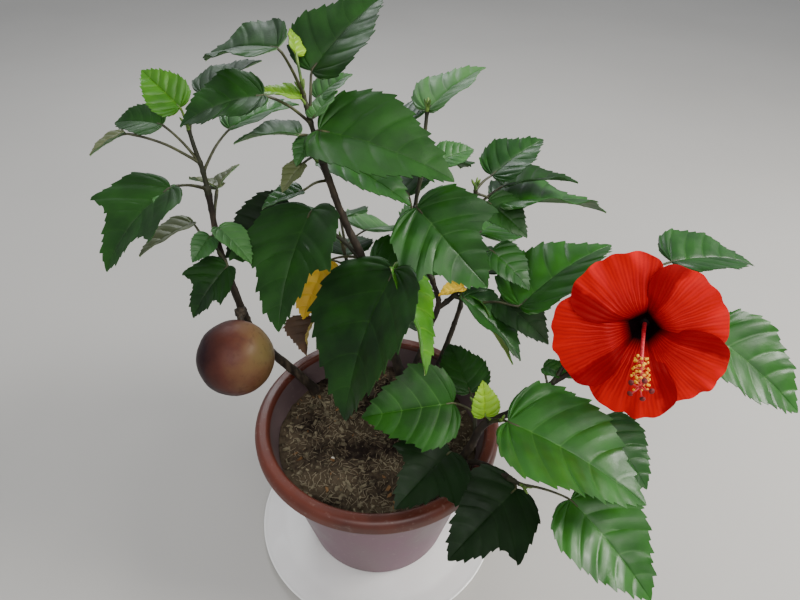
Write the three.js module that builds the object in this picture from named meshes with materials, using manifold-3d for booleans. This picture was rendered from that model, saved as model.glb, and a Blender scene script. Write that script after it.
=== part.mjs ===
// A potted hibiscus shrub: stems, leafy twigs, one open bloom and a round fruit, in a pot on a saucer.
// Millimetres, +Z up. The origin is the middle of the saucer's flat underside. Azimuths are degrees
// anticlockwise from +X, rises are degrees above the level.
import * as THREE from 'three';
import Module from 'manifold-3d';

const wasm = await Module();
wasm.setup();

// Driving dimensions
const GAP = 0.3;                 // clearance between pieces that touch on the plant
const SAUCER_RADIUS = 119;
const SAUCER_HEIGHT = 8;
const SAUCER_FLOOR = 3;
const POT_BASE_RADIUS = 69;
const POT_RIM_RADIUS = 110;
const POT_TOP = 155;             // height of the rim above the floor
const POT_WALL = 3;
const RIM_BAND = 16;             // height of the thick band under the rim
const RIM_LIP = 13;              // width of the rim, outside to inside
const SOIL_TOP = 131;
const BLADE_THICKNESS = 1;       // least thickness of a leaf blade
const BLADE_SLENDERNESS = 80;    // length of a long blade over its thickness
const BLADE_FOLD = 15;           // degrees that each half of a blade is lifted
const VEIN_SLANT = 0.6;          // how far the side veins lead the midrib, over the half width
const TWIG_RADIUS = 1.9;         // at a twig's foot
const STALK_RADIUS = 1.25;       // where a leaf stalk leaves its twig
const ROUND_SEGMENTS = 32;
const FRUIT_RADIUS = 30;
const FRUIT_CENTRE = [-110, -20, 250];
const FRUIT_SEAT = [-109.5, 16.6, 266];           // where its stalk meets the stem
const FRUIT_STALK = 2.4;         // radius where it meets the stem
const BLOOM_THROAT = [188, -52, 300];
const BLOOM_FACING = [-118, 18];                  // azimuth and rise of the way it looks
const BLOOM_STALK_BEND = [177, -29, 270];
const BLOOM_STALK_RADIUS = 1.7;
const CALYX_FOOT = 0.72;         // where along the stalk the calyx begins
const CALYX_SWELL = 18;          // growth of its radius over the length of the stalk
const PETAL_THICKNESS = 1.5;
const PETAL_LAP = 3;             // how far one side of a petal stands ahead of its middle
const THROAT_DEPTH = 22;
const THROAT_SHARE = 0.35;       // share of a petal's length that lines the throat
// Petals: [degrees round the throat from its right, length, half width]
const PETALS = [[134, 56, 34], [49, 53, 34], [-25, 57, 32], [-85, 65, 32], [-152, 62, 35]];
const PETAL_WIDTHS = [[0, 0.12], [0.15, 0.37], [0.32, 0.71], [0.48, 0.93], [0.62, 1], [0.76, 0.93],
  [0.88, 0.73], [0.96, 0.45], [1, 0.15]];
// Column of stamens: [ahead, up, aside] from the throat
const COLUMN = [[-22, 0, 0], [10, -3, 2], [30, -15, 6], [38, -19, 7.5], [46, -20, 8]];

// Half outlines of a blade from its base to its tip: [along, out] in blade lengths
const HALF_OUTLINES = {
  ovate: [[0, 0], [-0.04, 0.16], [0.04, 0.33], [0.2, 0.4], [0.4, 0.38], [0.58, 0.3], [0.76, 0.18],
    [0.92, 0.06], [1, 0]],
  lobed: [[0, 0], [-0.05, 0.16], [0.06, 0.36], [0.28, 0.45], [0.5, 0.49], [0.52, 0.29], [0.7, 0.21],
    [0.9, 0.08], [1, 0]],
  broad: [[0, 0], [-0.05, 0.17], [0.05, 0.35], [0.25, 0.44], [0.42, 0.44], [0.5, 0.36], [0.7, 0.25],
    [0.88, 0.1], [1, 0]],
};

// Limbs: the bare wood, [x, y, z] along the middle. Those with a flare stand in the soil, and the
// others branch from a limb at a fraction of its length.
const LIMBS = {
  main_stem: { path: [[32, 8, SOIL_TOP], [24, 11, 180], [8, 16, 245], [-9, 20, 311], [-24, 20, 353],
    [-36, 22, 395]], radii: [5, 2.3], flare: 1.5 },
  left_stem: { path: [[-62, 56, SOIL_TOP], [-76, 50, 160], [-93, 40, 195], [-106.5, 24, 243]],
    radii: [4.4, 3.3], flare: 1.4 },
  left_bough: { from: 'left_stem', path: [[-111, 20, 275], [-119, 25, 322], [-122, 34, 364]],
    radii: [3.3, 2.1] },
  middle_bough: { from: 'main_stem', at: 0.17, path: [[45, 25, 237], [52, 30, 262], [46, 34, 284]],
    radii: [2.9, 2] },
  rear_right_bough: { from: 'middle_bough', at: 0.75, path: [[66, 34, 268], [76, 44, 284], [78, 50, 302]],
    radii: [2.2, 1.8] },
  right_bough: { path: [[66, -44, SOIL_TOP], [77, -47, 168], [87, -50, 203], [108, -45, 210],
    [135, -38, 232], [150, -38, 246]], radii: [3.9, 2.1], flare: 1.4 },
  front_bough: { from: 'right_bough', at: 0.1, path: [[84, -60, 164], [95, -70, 168.5], [104, -80, 171]],
    radii: [2.5, 2] },
  rear_bough: { path: [[-8, 50, SOIL_TOP], [-12, 66, 190], [-20, 80, 245]], radii: [4, 2.4], flare: 1.4 },
  rear_side_bough: { path: [[48, 48, SOIL_TOP], [66, 66, 175], [80, 82, 215]], radii: [3.6, 2.2], flare: 1.4 },
};

// Leafy twigs: the stem of each mass of foliage, from the limb that carries it, and its leaves.
// A leaf leaves its twig at a fraction `at`, on a stalk [length, azimuth, rise], and its blade is
// [length, azimuth, rise, roll], bent downwards through `bend` degrees. Where a twig has a rule, more
// leaves follow it: so many, within a spread each side of an azimuth, from a seed.
const leaf = (at, stalk, blade, shape = 'ovate', bend = 25) => ({ at, stalk, blade, shape, bend });
const TWIGS = {
  left_crown: { from: 'left_bough', path: [[-124, 38, 381], [-128, 42, 399], [-130, 45, 409]], leaves: [
    leaf(1, [22, -90, 65], [37, 145, 30, -35], 'ovate', 20),
    leaf(0.5, [35, 170, 50], [38, 165, -5, -20], 'ovate', 35),
    leaf(1, [27, 47, 55], [50, 36, 15, -10], 'ovate', 15),
    leaf(0.35, [42, 65, 25], [60, 35, 5, -5]),
    leaf(0.1, [28, -140, 20], [74, -135, -35, 0], 'lobed', 45),
  ] },
  left_side: { from: 'left_bough', at: 0.7, path: [[-127, 19, 330]], leaves: [
    leaf(0.9, [18, 140, 45], [45, -145, -15, 15], 'ovate', 20),
    leaf(0.6, [30, -51, 50], [35, -35, -35, -15]),
    leaf(0.5, [22, -48, -31], [47, -137, -40, -5], 'lobed', 30),
  ] },
  top_crown: { from: 'main_stem', path: [[-40, 24, 412], [-43, 25, 425], [-46, 27, 441]], leaves: [
    leaf(0.65, [31, 75, 70], [71, 40, 30, 10]),
    leaf(1, [40, -125, 60], [58, 155, -15, -10], 'ovate', 35),
    leaf(0.85, [8, -135, 55], [28, -175, 10, 0], 'ovate', 15),
    leaf(0.75, [14, 60, 25], [30, 35, 20, 0]),
    leaf(0.6, [40, -148, 39], [56, -167, -16, -15], 'ovate', 40),
    leaf(0.35, [20, -125, 30], [45, 175, -10, 10], 'ovate', 35),
    leaf(0.42, [14, -70, 35], [96, -15, -15, 15], 'ovate', 30),
    leaf(0.2, [16, -109, 53], [23, -121, -32, 5], 'ovate', 20),
  ] },
  top_side: { from: 'main_stem', at: 0.91, path: [[-38, 34, 386]], leaves: [
    leaf(1, [22, 82, -6], [73, -27, -20, 0], 'ovate', 20),
  ] },
  left_middle: { from: 'main_stem', at: 0.67, path: [[-24, 27, 326], [-38, 31, 336]], leaves: [
    leaf(1, [26, -127, 59], [93, -109, -40, 20], 'lobed', 35),
    leaf(0.9, [32, 171, 27], [61, -155, -25, -20], 'ovate', 35),
    leaf(0.2, [34, 151, -27], [50, -119, -40, 0]),
  ], rule: { count: 3, azimuth: 90, spread: 50, seed: 1 } },
  front_middle: { from: 'main_stem', at: 0.48, path: [[12, 8, 278], [13, 4, 296]], leaves: [
    leaf(1, [32, -87, 66], [118, -120, -50, 25], 'broad', 35),
  ] },
  middle_crown: { from: 'middle_bough', path: [[32, 40, 309], [31, 46, 347], [34, 50, 368], [38, 60, 416]],
    leaves: [
      leaf(1, [8, 85, -15], [60, 35, 20, -10]),
      leaf(0.48, [14, -88, 27], [82, -37, -35, 45], 'lobed', 40),
      leaf(0.82, [18, 10, -45], [31, 25, 5, 20]),
    ], rule: { count: 10, azimuth: 90, spread: 70, seed: 7 } },
  rear_right_crown: { from: 'rear_right_bough', path: [[80, 56, 330], [79, 60, 352]], leaves: [
    leaf(1, [20, 40, 20], [54, 30, 20, 5]),
    leaf(0.95, [22, -10, -25], [99, 10, -10, -15], 'ovate', 30),
    leaf(0.4, [26, -20, 70], [42, -40, -25, 15]),
    leaf(0.1, [18, -20, -10], [44, -40, -30, 10]),
  ], rule: { count: 4, azimuth: 60, spread: 60, seed: 10 } },
  right_middle: { from: 'rear_right_bough', at: 0.3, path: [[80, 26, 264]], leaves: [
    leaf(1, [26, 20, -5], [56, -45, -20, 5]),
    leaf(0.5, [14, -105, 45], [71, -35, -35, -20]),
    leaf(1, [40, -23, 14], [101, 30, 15, -15], 'ovate', 30),
  ] },
  right_low: { from: 'right_bough', at: 0.35, path: [[79, -36, 206]], leaves: [
    leaf(1, [26, 90, -20], [54, 105, 10, 0]),
    leaf(0.8, [28, -164, 43], [74, -174, -5, -35], 'broad', 35),
  ] },
  right_front: { from: 'right_bough', at: 0.5, path: [[94, -63, 221]], leaves: [
    leaf(0.3, [8, 170, 45], [29, 100, 60, 0], 'ovate', 15),
    leaf(1, [12, -65, 40], [114, -30, -15, 0], 'ovate', 30),
  ] },
  right_side: { from: 'right_bough', at: 0.8, path: [[144, -42, 226]], leaves: [
    leaf(1, [38, -34, -20], [60, -50, -32, 0], 'ovate', 30),
  ] },
  bloom_leaves: { from: 'right_bough', at: 0.9, path: [[162, -18, 272], [186, -6, 306]], leaves: [
    leaf(1, [40, 7, 29], [76, 11, -10, -5], 'ovate', 30),
    leaf(1, [75, -27, -17], [85, -33, -30, 15]),
  ] },
  front_low: { from: 'right_bough', at: 0.13, path: [[64, -56, 164]], leaves: [
    leaf(1, [20, -135, 65], [66, -136, -9, -15], 'lobed', 35),
  ] },
  front_crown: { from: 'front_bough', path: [[111, -88, 174]], leaves: [
    leaf(0.5, [10, -2, -75], [79, -144, -26, -15], 'lobed', 35),
    leaf(1, [40, -30, 10], [88, -50, -25, 10], 'ovate', 35),
  ] },
  rear_crown: { from: 'rear_bough', path: [[-26, 86, 265], [-30, 88, 285]], leaves: [],
    rule: { count: 14, azimuth: 100, spread: 110, seed: 2 } },
  rear_low: { from: 'rear_bough', at: 0.55, path: [[-30, 76, 212]], leaves: [],
    rule: { count: 10, azimuth: 90, spread: 60, seed: 18 } },
  rear_side_crown: { from: 'rear_side_bough', path: [[80, 88, 240], [78, 92, 265]], leaves: [],
    rule: { count: 14, azimuth: 60, spread: 110, seed: 12 } },
};

// The rule for the other leaves of a twig
const RULE_STALK = [22, 36];     // least and greatest length of a stalk
const RULE_STALK_RISE = [0, 30];
const RULE_BLADE = [58, 84];     // least and greatest length of a blade
const RULE_BLADE_RISE = [-40, -10];
const RULE_TURN = 20;            // how far a blade turns from its stalk, or rolls, each way
const RULE_CLEAR = 9;            // a leaf this near any wood or another blade is skipped
const RULE_REACH = 125;          // a leaf that reaches further than this from its twig is skipped

// Direction of an azimuth and a rise
function heading(azimuth, rise) {
  const a = THREE.MathUtils.degToRad(azimuth);
  const e = THREE.MathUtils.degToRad(rise);
  return new THREE.Vector3(Math.cos(a) * Math.cos(e), Math.sin(a) * Math.cos(e), Math.sin(e));
}

// Closed solids, joined
function toSolid(geometry) {
  const index = geometry.getIndex();
  return new wasm.Manifold(new wasm.Mesh({
    numProp: 3,
    vertProperties: new Float32Array(geometry.getAttribute('position').array),
    triVerts: new Uint32Array(index.array),
  }));
}

function toGeometry(solid) {
  const mesh = solid.getMesh();
  const geometry = new THREE.BufferGeometry();
  geometry.setAttribute('position', new THREE.BufferAttribute(mesh.vertProperties, 3));
  geometry.setIndex(new THREE.BufferAttribute(mesh.triVerts, 1));
  return geometry;
}

// Hollows that joining seals are filled and loose scraps dropped
function outerShell(solid) {
  return solid.decompose().reduce((best, shell) => (shell.volume() > best.volume() ? shell : best));
}

function fuse(geometries) {
  return outerShell(geometries.map(toSolid).reduce((sum, piece) => sum.add(piece)));
}

function indexed(points, faces) {
  const geometry = new THREE.BufferGeometry();
  geometry.setAttribute('position', new THREE.Float32BufferAttribute(points.flatMap((p) => p.toArray()), 3));
  geometry.setIndex(faces);
  return geometry;
}

// Round tube along a curve, its radius given at each fraction, closed at both ends
function taperedTube(curve, radiusAt, steps, sides) {
  const frames = curve.computeFrenetFrames(steps);
  const points = [];
  const faces = [];
  for (let i = 0; i <= steps; i++) {
    const centre = curve.getPointAt(i / steps);
    for (let j = 0; j < sides; j++) {
      const turn = 2 * Math.PI * j / sides;
      const radius = radiusAt(i / steps);
      points.push(centre.clone()
        .addScaledVector(frames.normals[i], radius * Math.cos(turn))
        .addScaledVector(frames.binormals[i], radius * Math.sin(turn)));
    }
  }
  for (let i = 0; i < steps; i++) {
    for (let j = 0; j < sides; j++) {
      const k = (j + 1) % sides;
      const [a, b, c, d] = [i * sides + j, i * sides + k, (i + 1) * sides + k, (i + 1) * sides + j];
      faces.push(a, b, c, a, c, d);
    }
  }
  for (let j = 1; j < sides - 1; j++) {
    faces.push(0, j + 1, j);
    faces.push(steps * sides, steps * sides + j, steps * sides + j + 1);
  }
  return indexed(points, faces);
}

// Place on the midrib of a blade, and its across and outward directions
function bladeFrame(base, [length, azimuth, rise, roll], bend) {
  const forward = heading(azimuth, rise);
  const level = heading(azimuth + 90, 0);
  const lift = new THREE.Vector3().crossVectors(forward, level);
  const across = level.clone().applyAxisAngle(forward, THREE.MathUtils.degToRad(roll));
  const out = lift.applyAxisAngle(forward, THREE.MathUtils.degToRad(roll));
  const arc = THREE.MathUtils.degToRad(bend);
  const radius = length / arc;
  return {
    across,
    out,
    at(along) {
      const turn = along * arc - arc / 2;
      const x = radius * (Math.sin(turn) + Math.sin(arc / 2));
      const z = radius * (Math.cos(turn) - Math.cos(arc / 2));
      return base.clone().addScaledVector(forward, x).addScaledVector(out, z);
    },
  };
}

// Leaf blade: a bent, folded slab in the outline of its shape
function bladeSlab(base, blade, shape, bend) {
  const [length] = blade;
  const frame = bladeFrame(base, blade, bend);
  const thickness = Math.max(BLADE_THICKNESS, length / BLADE_SLENDERNESS);
  const fold = THREE.MathUtils.degToRad(BLADE_FOLD);
  const outline = HALF_OUTLINES[shape];
  const last = outline.length - 1;
  const ribs = outline.map(([along, out]) => Math.max(0, along - VEIN_SLANT * out));
  const places = [];
  const faces = [];
  const midrib = ribs.map((along) => ribs.indexOf(along));
  ribs.forEach((along) => places.push(frame.at(along)));
  const margin = { 1: [], [-1]: [] };
  for (const side of [1, -1]) {
    outline.forEach(([along, out], i) => {
      if (i === 0 || i === last) {
        margin[side].push(midrib[i]);
        return;
      }
      margin[side].push(places.length);
      places.push(frame.at(along)
        .addScaledVector(frame.across, side * out * length * Math.cos(fold))
        .addScaledVector(frame.out, out * length * Math.sin(fold)));
    });
  }
  const count = places.length;
  const points = [
    ...places.map((p) => p.clone().addScaledVector(frame.out, thickness / 2)),
    ...places.map((p) => p.clone().addScaledVector(frame.out, -thickness / 2)),
  ];
  const addFace = (a, b, c, side) => {
    if (a === b || b === c || a === c) return;
    const top = side === 1 ? [a, b, c] : [a, c, b];
    faces.push(...top, top[0] + count, top[2] + count, top[1] + count);
  };
  for (const side of [1, -1]) {
    const edge = margin[side];
    for (let i = 0; i < last; i++) {
      addFace(midrib[i], edge[i + 1], edge[i], side);
      addFace(midrib[i], midrib[i + 1], edge[i + 1], side);
      const [a, b] = side === 1 ? [edge[i + 1], edge[i]] : [edge[i], edge[i + 1]];
      faces.push(a, a + count, b + count, a, b + count, b);
    }
  }
  return indexed(points, faces);
}

// Leaf: a stalk from its twig, sunk along the blade's midrib
function leafPieces(root, { stalk: [reach, azimuth, rise], blade, shape, bend }) {
  const base = root.clone().addScaledVector(heading(azimuth, rise), reach);
  const middle = root.clone().lerp(base, 0.5).add(new THREE.Vector3(0, 0, 0.08 * reach));
  const sunk = bladeFrame(base, blade, bend).at(0.08);
  const curve = new THREE.CatmullRomCurve3([root, middle, base, sunk]);
  const radiusAt = (along) => STALK_RADIUS * (1 - 0.35 * along);
  return [taperedTube(curve, radiusAt, 3, 3), bladeSlab(base, blade, shape, bend)];
}

// Middle of a limb or twig, from the soil or from the middle of the limb that carries it
function woodCurve({ from, at = 1, path }) {
  const points = path.map((p) => new THREE.Vector3(...p));
  if (from) points.unshift(woodCurve(LIMBS[from]).getPointAt(at));
  return new THREE.CatmullRomCurve3(points);
}

function limbRadius({ radii: [foot, tip], flare = 1 }, along) {
  const swell = 1 + (flare - 1) * Math.max(0, 1 - along * 8) ** 2;
  return THREE.MathUtils.lerp(foot, tip, along) * swell;
}

// Tapered limb, wider and longer by a margin, with a level cut at the soil
function limbTube(limb, margin = 0) {
  const curve = woodCurve(limb);
  const steps = Math.max(6, Math.round(curve.getLength() / 16));
  const sides = 8;
  const tube = taperedTube(curve, (along) => limbRadius(limb, along) + margin, steps, sides);
  const points = tube.getAttribute('position');
  const ahead = curve.getTangentAt(1).multiplyScalar(margin);
  for (let i = 0; i < sides; i++) {
    if (limb.flare) points.setZ(i, SOIL_TOP - margin);
    const j = steps * sides + i;
    points.setXYZ(j, points.getX(j) + ahead.x, points.getY(j) + ahead.y, points.getZ(j) + ahead.z);
  }
  return tube;
}

// A limb or twig ends a hair clear of the limb that carries it
function clearOf(solid, from) {
  return from ? outerShell(solid.subtract(toSolid(limbTube(LIMBS[from], GAP)))) : solid;
}

// Same numbers from the same seed, each from 0 to 1
function randomFrom(seed) {
  let state = seed * 7919 + 1;
  return () => {
    state = (state * 16807) % 2147483647;
    return state / 2147483647;
  };
}

// Points over a blade, to test what it comes near
function bladePoints(base, blade, shape, bend) {
  const [length] = blade;
  const frame = bladeFrame(base, blade, bend);
  const fold = THREE.MathUtils.degToRad(BLADE_FOLD);
  return HALF_OUTLINES[shape].flatMap(([along, out]) => [-1, -0.5, 0, 0.5, 1].map((side) => (
    frame.at(along)
      .addScaledVector(frame.across, side * out * length * Math.cos(fold))
      .addScaledVector(frame.out, Math.abs(side) * out * length * Math.sin(fold))
  )));
}

// Every leaf of every twig: those listed first, then those of the rule that touch nothing
function growLeaves() {
  const taken = [];
  for (const wood of [...Object.values(LIMBS), ...Object.values(TWIGS)]) {
    const curve = woodCurve(wood);
    const steps = Math.ceil(curve.getLength() / 6);
    for (let i = 0; i <= steps; i++) taken.push(curve.getPointAt(i / steps));
  }
  const grown = {};
  for (const [name, twig] of Object.entries(TWIGS)) {
    grown[name] = [...twig.leaves];
    const curve = woodCurve(twig);
    for (const one of twig.leaves) {
      const base = curve.getPointAt(one.at).addScaledVector(heading(one.stalk[1], one.stalk[2]), one.stalk[0]);
      taken.push(...bladePoints(base, one.blade, one.shape, one.bend));
    }
  }
  for (const [name, twig] of Object.entries(TWIGS)) {
    if (!twig.rule) continue;
    const { count, azimuth, spread, seed } = twig.rule;
    const random = randomFrom(seed);
    const between = ([low, high]) => low + (high - low) * random();
    const curve = woodCurve(twig);
    for (let i = 0; i < count; i++) {
      const at = (i + 1) / (count + 0.5);
      const turn = azimuth + between([-spread, spread]);
      const stalk = [between(RULE_STALK), turn, between(RULE_STALK_RISE)];
      const blade = [between(RULE_BLADE), turn + between([-RULE_TURN, RULE_TURN]), between(RULE_BLADE_RISE),
        between([-RULE_TURN, RULE_TURN])];
      const one = leaf(at, stalk, blade);
      const root = curve.getPointAt(at);
      const base = root.clone().addScaledVector(heading(stalk[1], stalk[2]), stalk[0]);
      const points = bladePoints(base, blade, one.shape, one.bend);
      const leaves = points.some((p) => p.distanceTo(root) > RULE_REACH);
      const touches = points.some((p) => taken.some((q) => p.distanceTo(q) < RULE_CLEAR));
      if (leaves || touches) continue;
      taken.push(...points);
      grown[name].push(one);
    }
  }
  return grown;
}

// Twig with its leaves: one mass of foliage
function twigSolid(twig, leaves) {
  const curve = woodCurve(twig);
  const steps = Math.max(2, Math.round(curve.getLength() / 16));
  const stem = taperedTube(curve, (along) => TWIG_RADIUS - 0.5 * along, steps, 6);
  const mass = fuse([stem, ...leaves.flatMap((one) => leafPieces(curve.getPointAt(one.at), one))]);
  return clearOf(mass, twig.from);
}

// Turned piece from its section [radius, height]
function turned(section, segments = ROUND_SEGMENTS) {
  return new THREE.LatheGeometry(section.map((p) => new THREE.Vector2(...p)), segments);
}

function saucerGeometry() {
  const [rim, edge, floor] = [SAUCER_RADIUS, SAUCER_RADIUS - 4, SAUCER_FLOOR];
  return turned([[0, 0], [rim - 24, 0], [rim - 3, SAUCER_HEIGHT - 2.5], [rim, SAUCER_HEIGHT - 1],
    [rim - 1, SAUCER_HEIGHT], [edge, SAUCER_HEIGHT - 1], [edge - 18, floor], [0, floor]]);
}

// Inner radius of the pot at a height
function potBore(height) {
  const wall = POT_WALL + 1;
  return THREE.MathUtils.mapLinear(height, SAUCER_FLOOR, POT_TOP, POT_BASE_RADIUS - wall, POT_RIM_RADIUS - RIM_LIP);
}

function potGeometry() {
  const foot = SAUCER_FLOOR + GAP;
  const bandFoot = POT_TOP - RIM_BAND;
  const bore = POT_RIM_RADIUS - RIM_LIP;
  const floor = foot + POT_WALL;
  return turned([[0, foot], [POT_BASE_RADIUS - 3, foot], [POT_BASE_RADIUS, foot + 3],
    [potBore(bandFoot) + POT_WALL + 1, bandFoot - 1], [POT_RIM_RADIUS - 3, bandFoot],
    [POT_RIM_RADIUS, bandFoot + 3], [POT_RIM_RADIUS, POT_TOP - 4], [POT_RIM_RADIUS - 3, POT_TOP],
    [bore + 2, POT_TOP], [bore, POT_TOP - 3], [potBore(floor), floor], [0, floor]]);
}

function soilGeometry() {
  const floor = SAUCER_FLOOR + POT_WALL + 2 * GAP;
  const top = SOIL_TOP - GAP;
  return turned([[0, floor], [potBore(floor) - 2 * GAP, floor], [potBore(top) - 2 * GAP, top], [0, top]]);
}

// Round fruit and its stalk, turned about the line to its seat
function fruitMesh() {
  const centre = new THREE.Vector3(...FRUIT_CENTRE);
  const line = new THREE.Vector3(...FRUIT_SEAT).sub(centre);
  const reach = line.length();
  const crown = 0.26;
  const section = [[0, reach], [FRUIT_STALK, reach], [0.9 * FRUIT_STALK, FRUIT_RADIUS + 3],
    [FRUIT_RADIUS * Math.sin(crown), FRUIT_RADIUS]];
  const steps = 12;
  for (let i = 0; i <= steps; i++) {
    const turn = THREE.MathUtils.lerp(crown, Math.PI, i / steps);
    section.push([i === steps ? 0 : FRUIT_RADIUS * Math.sin(turn), FRUIT_RADIUS * Math.cos(turn)]);
  }
  const mesh = new THREE.Mesh(turned(section.reverse(), 20), material(0x6b4a35, 0.75));
  mesh.position.copy(centre);
  mesh.quaternion.setFromUnitVectors(new THREE.Vector3(0, 1, 0), line.normalize());
  return mesh;
}

// Right, up and forward of the bloom
function bloomFrame() {
  const forward = heading(...BLOOM_FACING);
  const right = heading(BLOOM_FACING[0] + 90, 0);
  return { right, up: new THREE.Vector3().crossVectors(forward, right), forward };
}

// Petal: a slab that rises out of the throat, spreads and curls back a little
function petalSlab([turn, length, halfWidth]) {
  const { right, up, forward } = bloomFrame();
  const angle = THREE.MathUtils.degToRad(turn);
  const outward = right.clone().multiplyScalar(Math.cos(angle)).addScaledVector(up, Math.sin(angle));
  const across = up.clone().multiplyScalar(Math.cos(angle)).addScaledVector(right, -Math.sin(angle));
  const sides = [-1, -0.5, 0, 0.5, 1];
  const places = PETAL_WIDTHS.flatMap(([along, width]) => sides.map((side) => {
    const inside = Math.max(0, 1 - along / THROAT_SHARE);
    const outside = Math.max(0, along - THROAT_SHARE);
    const depth = -THROAT_DEPTH * inside ** 1.6 - 7 * outside ** 2;
    return new THREE.Vector3(...BLOOM_THROAT)
      .addScaledVector(outward, 3 + length * along)
      .addScaledVector(across, side * width * halfWidth)
      .addScaledVector(forward, depth + PETAL_LAP * side * width);
  }));
  const count = places.length;
  const points = [0.5, -0.5].flatMap((half) => (
    places.map((p) => p.clone().addScaledVector(forward, half * PETAL_THICKNESS))));
  const faces = [];
  const columns = sides.length;
  const last = PETAL_WIDTHS.length - 1;
  const wall = (a, b) => faces.push(a, a + count, b + count, a, b + count, b);
  for (let i = 0; i < last; i++) {
    for (let j = 0; j < columns - 1; j++) {
      const [a, b, c, d] = [i * columns + j, (i + 1) * columns + j, (i + 1) * columns + j + 1, i * columns + j + 1];
      faces.push(a, b, c, a, c, d);
      faces.push(a + count, c + count, b + count, a + count, d + count, c + count);
    }
    wall(i * columns, (i + 1) * columns);
    wall((i + 1) * columns + columns - 1, i * columns + columns - 1);
  }
  for (let j = 0; j < columns - 1; j++) {
    wall(j + 1, j);
    wall(last * columns + j, last * columns + j + 1);
  }
  return indexed(points, faces);
}

// Bloom: stalk and calyx, five petals and the column of stamens
function bloomSolid() {
  const { right, up, forward } = bloomFrame();
  const throat = new THREE.Vector3(...BLOOM_THROAT);
  const from = (ahead, above = 0, aside = 0) => throat.clone()
    .addScaledVector(forward, ahead).addScaledVector(up, above).addScaledVector(right, aside);
  const foot = woodCurve(LIMBS.right_bough).getPointAt(1);
  const bend = new THREE.Vector3(...BLOOM_STALK_BEND);
  const stalk = new THREE.CatmullRomCurve3([foot, bend, from(-33, -3), from(-THROAT_DEPTH)]);
  const stalkRadius = (along) => BLOOM_STALK_RADIUS + CALYX_SWELL * Math.max(0, along - CALYX_FOOT);
  const column = new THREE.CatmullRomCurve3(COLUMN.map((place) => from(...place)));
  const anthers = (along) => 5 * Math.sin(Math.PI * (0.6 * (2 * along - 1) + 0.3));
  const columnRadius = (along) => (along < 0.5 ? 2.4 : anthers(along));
  const whole = fuse([taperedTube(stalk, stalkRadius, 7, 8), taperedTube(column, columnRadius, 10, 7),
    ...PETALS.map(petalSlab)]);
  return clearOf(whole, 'right_bough');
}

const plant = new THREE.Group();

function material(colour, roughness) {
  return new THREE.MeshStandardMaterial({ color: colour, roughness, metalness: 0 });
}

function addMesh(name, mesh) {
  mesh.name = name;
  plant.add(mesh);
}

// Turned geometry stands on its Y axis, so it is tipped up
function addTurned(name, geometry, look) {
  const mesh = new THREE.Mesh(geometry, look);
  mesh.rotation.x = Math.PI / 2;
  addMesh(name, mesh);
}

const BARK = material(0x4a352a, 0.8);
const LEAF = material(0x2f5a2a, 0.4);

addTurned('saucer', saucerGeometry(), material(0xf2f2f0, 0.25));
addTurned('pot', potGeometry(), material(0x8a4a3c, 0.45));
addTurned('soil', soilGeometry(), material(0x3a2c24, 0.95));
for (const [name, limb] of Object.entries(LIMBS)) {
  addMesh(name, new THREE.Mesh(toGeometry(clearOf(toSolid(limbTube(limb)), limb.from)), BARK));
}
const grown = growLeaves();
for (const [name, twig] of Object.entries(TWIGS)) {
  addMesh(name, new THREE.Mesh(toGeometry(twigSolid(twig, grown[name])), LEAF));
}
addMesh('bloom', new THREE.Mesh(toGeometry(bloomSolid()), material(0xd6281c, 0.5)));
addMesh('fruit', fruitMesh());

export default plant;
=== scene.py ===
"""Looks of a potted hibiscus shrub: stems, leafy twigs, one open bloom and a round fruit.

Tables are in millimetres, as in the part's source, and meshes are made in metres. Azimuths are degrees
anticlockwise from +X, and rises are degrees above the level.
"""
import bisect
import math
import random

import bmesh
import bpy
from mathutils import Matrix, Vector, noise


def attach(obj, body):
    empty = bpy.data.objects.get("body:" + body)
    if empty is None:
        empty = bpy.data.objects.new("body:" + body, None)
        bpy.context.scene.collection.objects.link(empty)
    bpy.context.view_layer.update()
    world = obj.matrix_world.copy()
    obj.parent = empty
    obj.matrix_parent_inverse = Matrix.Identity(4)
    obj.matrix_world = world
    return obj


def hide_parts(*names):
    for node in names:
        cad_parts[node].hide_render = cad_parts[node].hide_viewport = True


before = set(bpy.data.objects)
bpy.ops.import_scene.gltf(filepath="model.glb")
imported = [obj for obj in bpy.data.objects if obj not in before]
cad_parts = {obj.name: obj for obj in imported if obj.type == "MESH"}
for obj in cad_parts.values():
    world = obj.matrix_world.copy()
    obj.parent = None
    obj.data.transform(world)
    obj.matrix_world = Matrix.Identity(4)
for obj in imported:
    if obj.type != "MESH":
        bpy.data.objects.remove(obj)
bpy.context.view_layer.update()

MM = 0.001

# Pot, soil and saucer, as in the part's source
SAUCER_RADIUS = 119
SAUCER_HEIGHT = 8
SAUCER_FLOOR = 3
POT_BASE_RADIUS = 69
POT_RIM_RADIUS = 110
POT_TOP = 155
POT_WALL = 3
POT_GAP = 0.3        # between the pot's foot and the saucer
RIM_BAND = 16
RIM_LIP = 13
SOIL_TOP = 131
LATHE_SIDES = 144

# Camera of the photo: its place, turn to the right, pitch down, roll and lens
CAMERA_PLACE = (0, -379, 597)
CAMERA_TURN = 2.75
CAMERA_PITCH = 38.98
CAMERA_ROLL = 1.126
CAMERA_LENS = 28.44

# Leaves. Quilt, wave, tooth and vein bow are in blade lengths.
BLADE_FOLD = 15
BLADE_THICKNESS = 0.5
VEIN_SLANT = 0.6
VEIN_BOW = 0.03      # how far a side vein bows back towards the stalk
SIDE_RIDGE = 0.35    # how far a side vein stands out below
MID_RIDGE = 0.7      # and the midrib
GROOVE = 0.4         # depth of its groove above, as a share of that
QUILT = 0.026        # how far the blade swells between veins
WAVE = 0.02          # how far the margin waves
TOOTH = 0.034        # depth of the tooth at the end of a side vein
BLISTER = 0.45       # height of the uneven swellings between the veins
BLISTER_PITCH = 7.0
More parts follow.
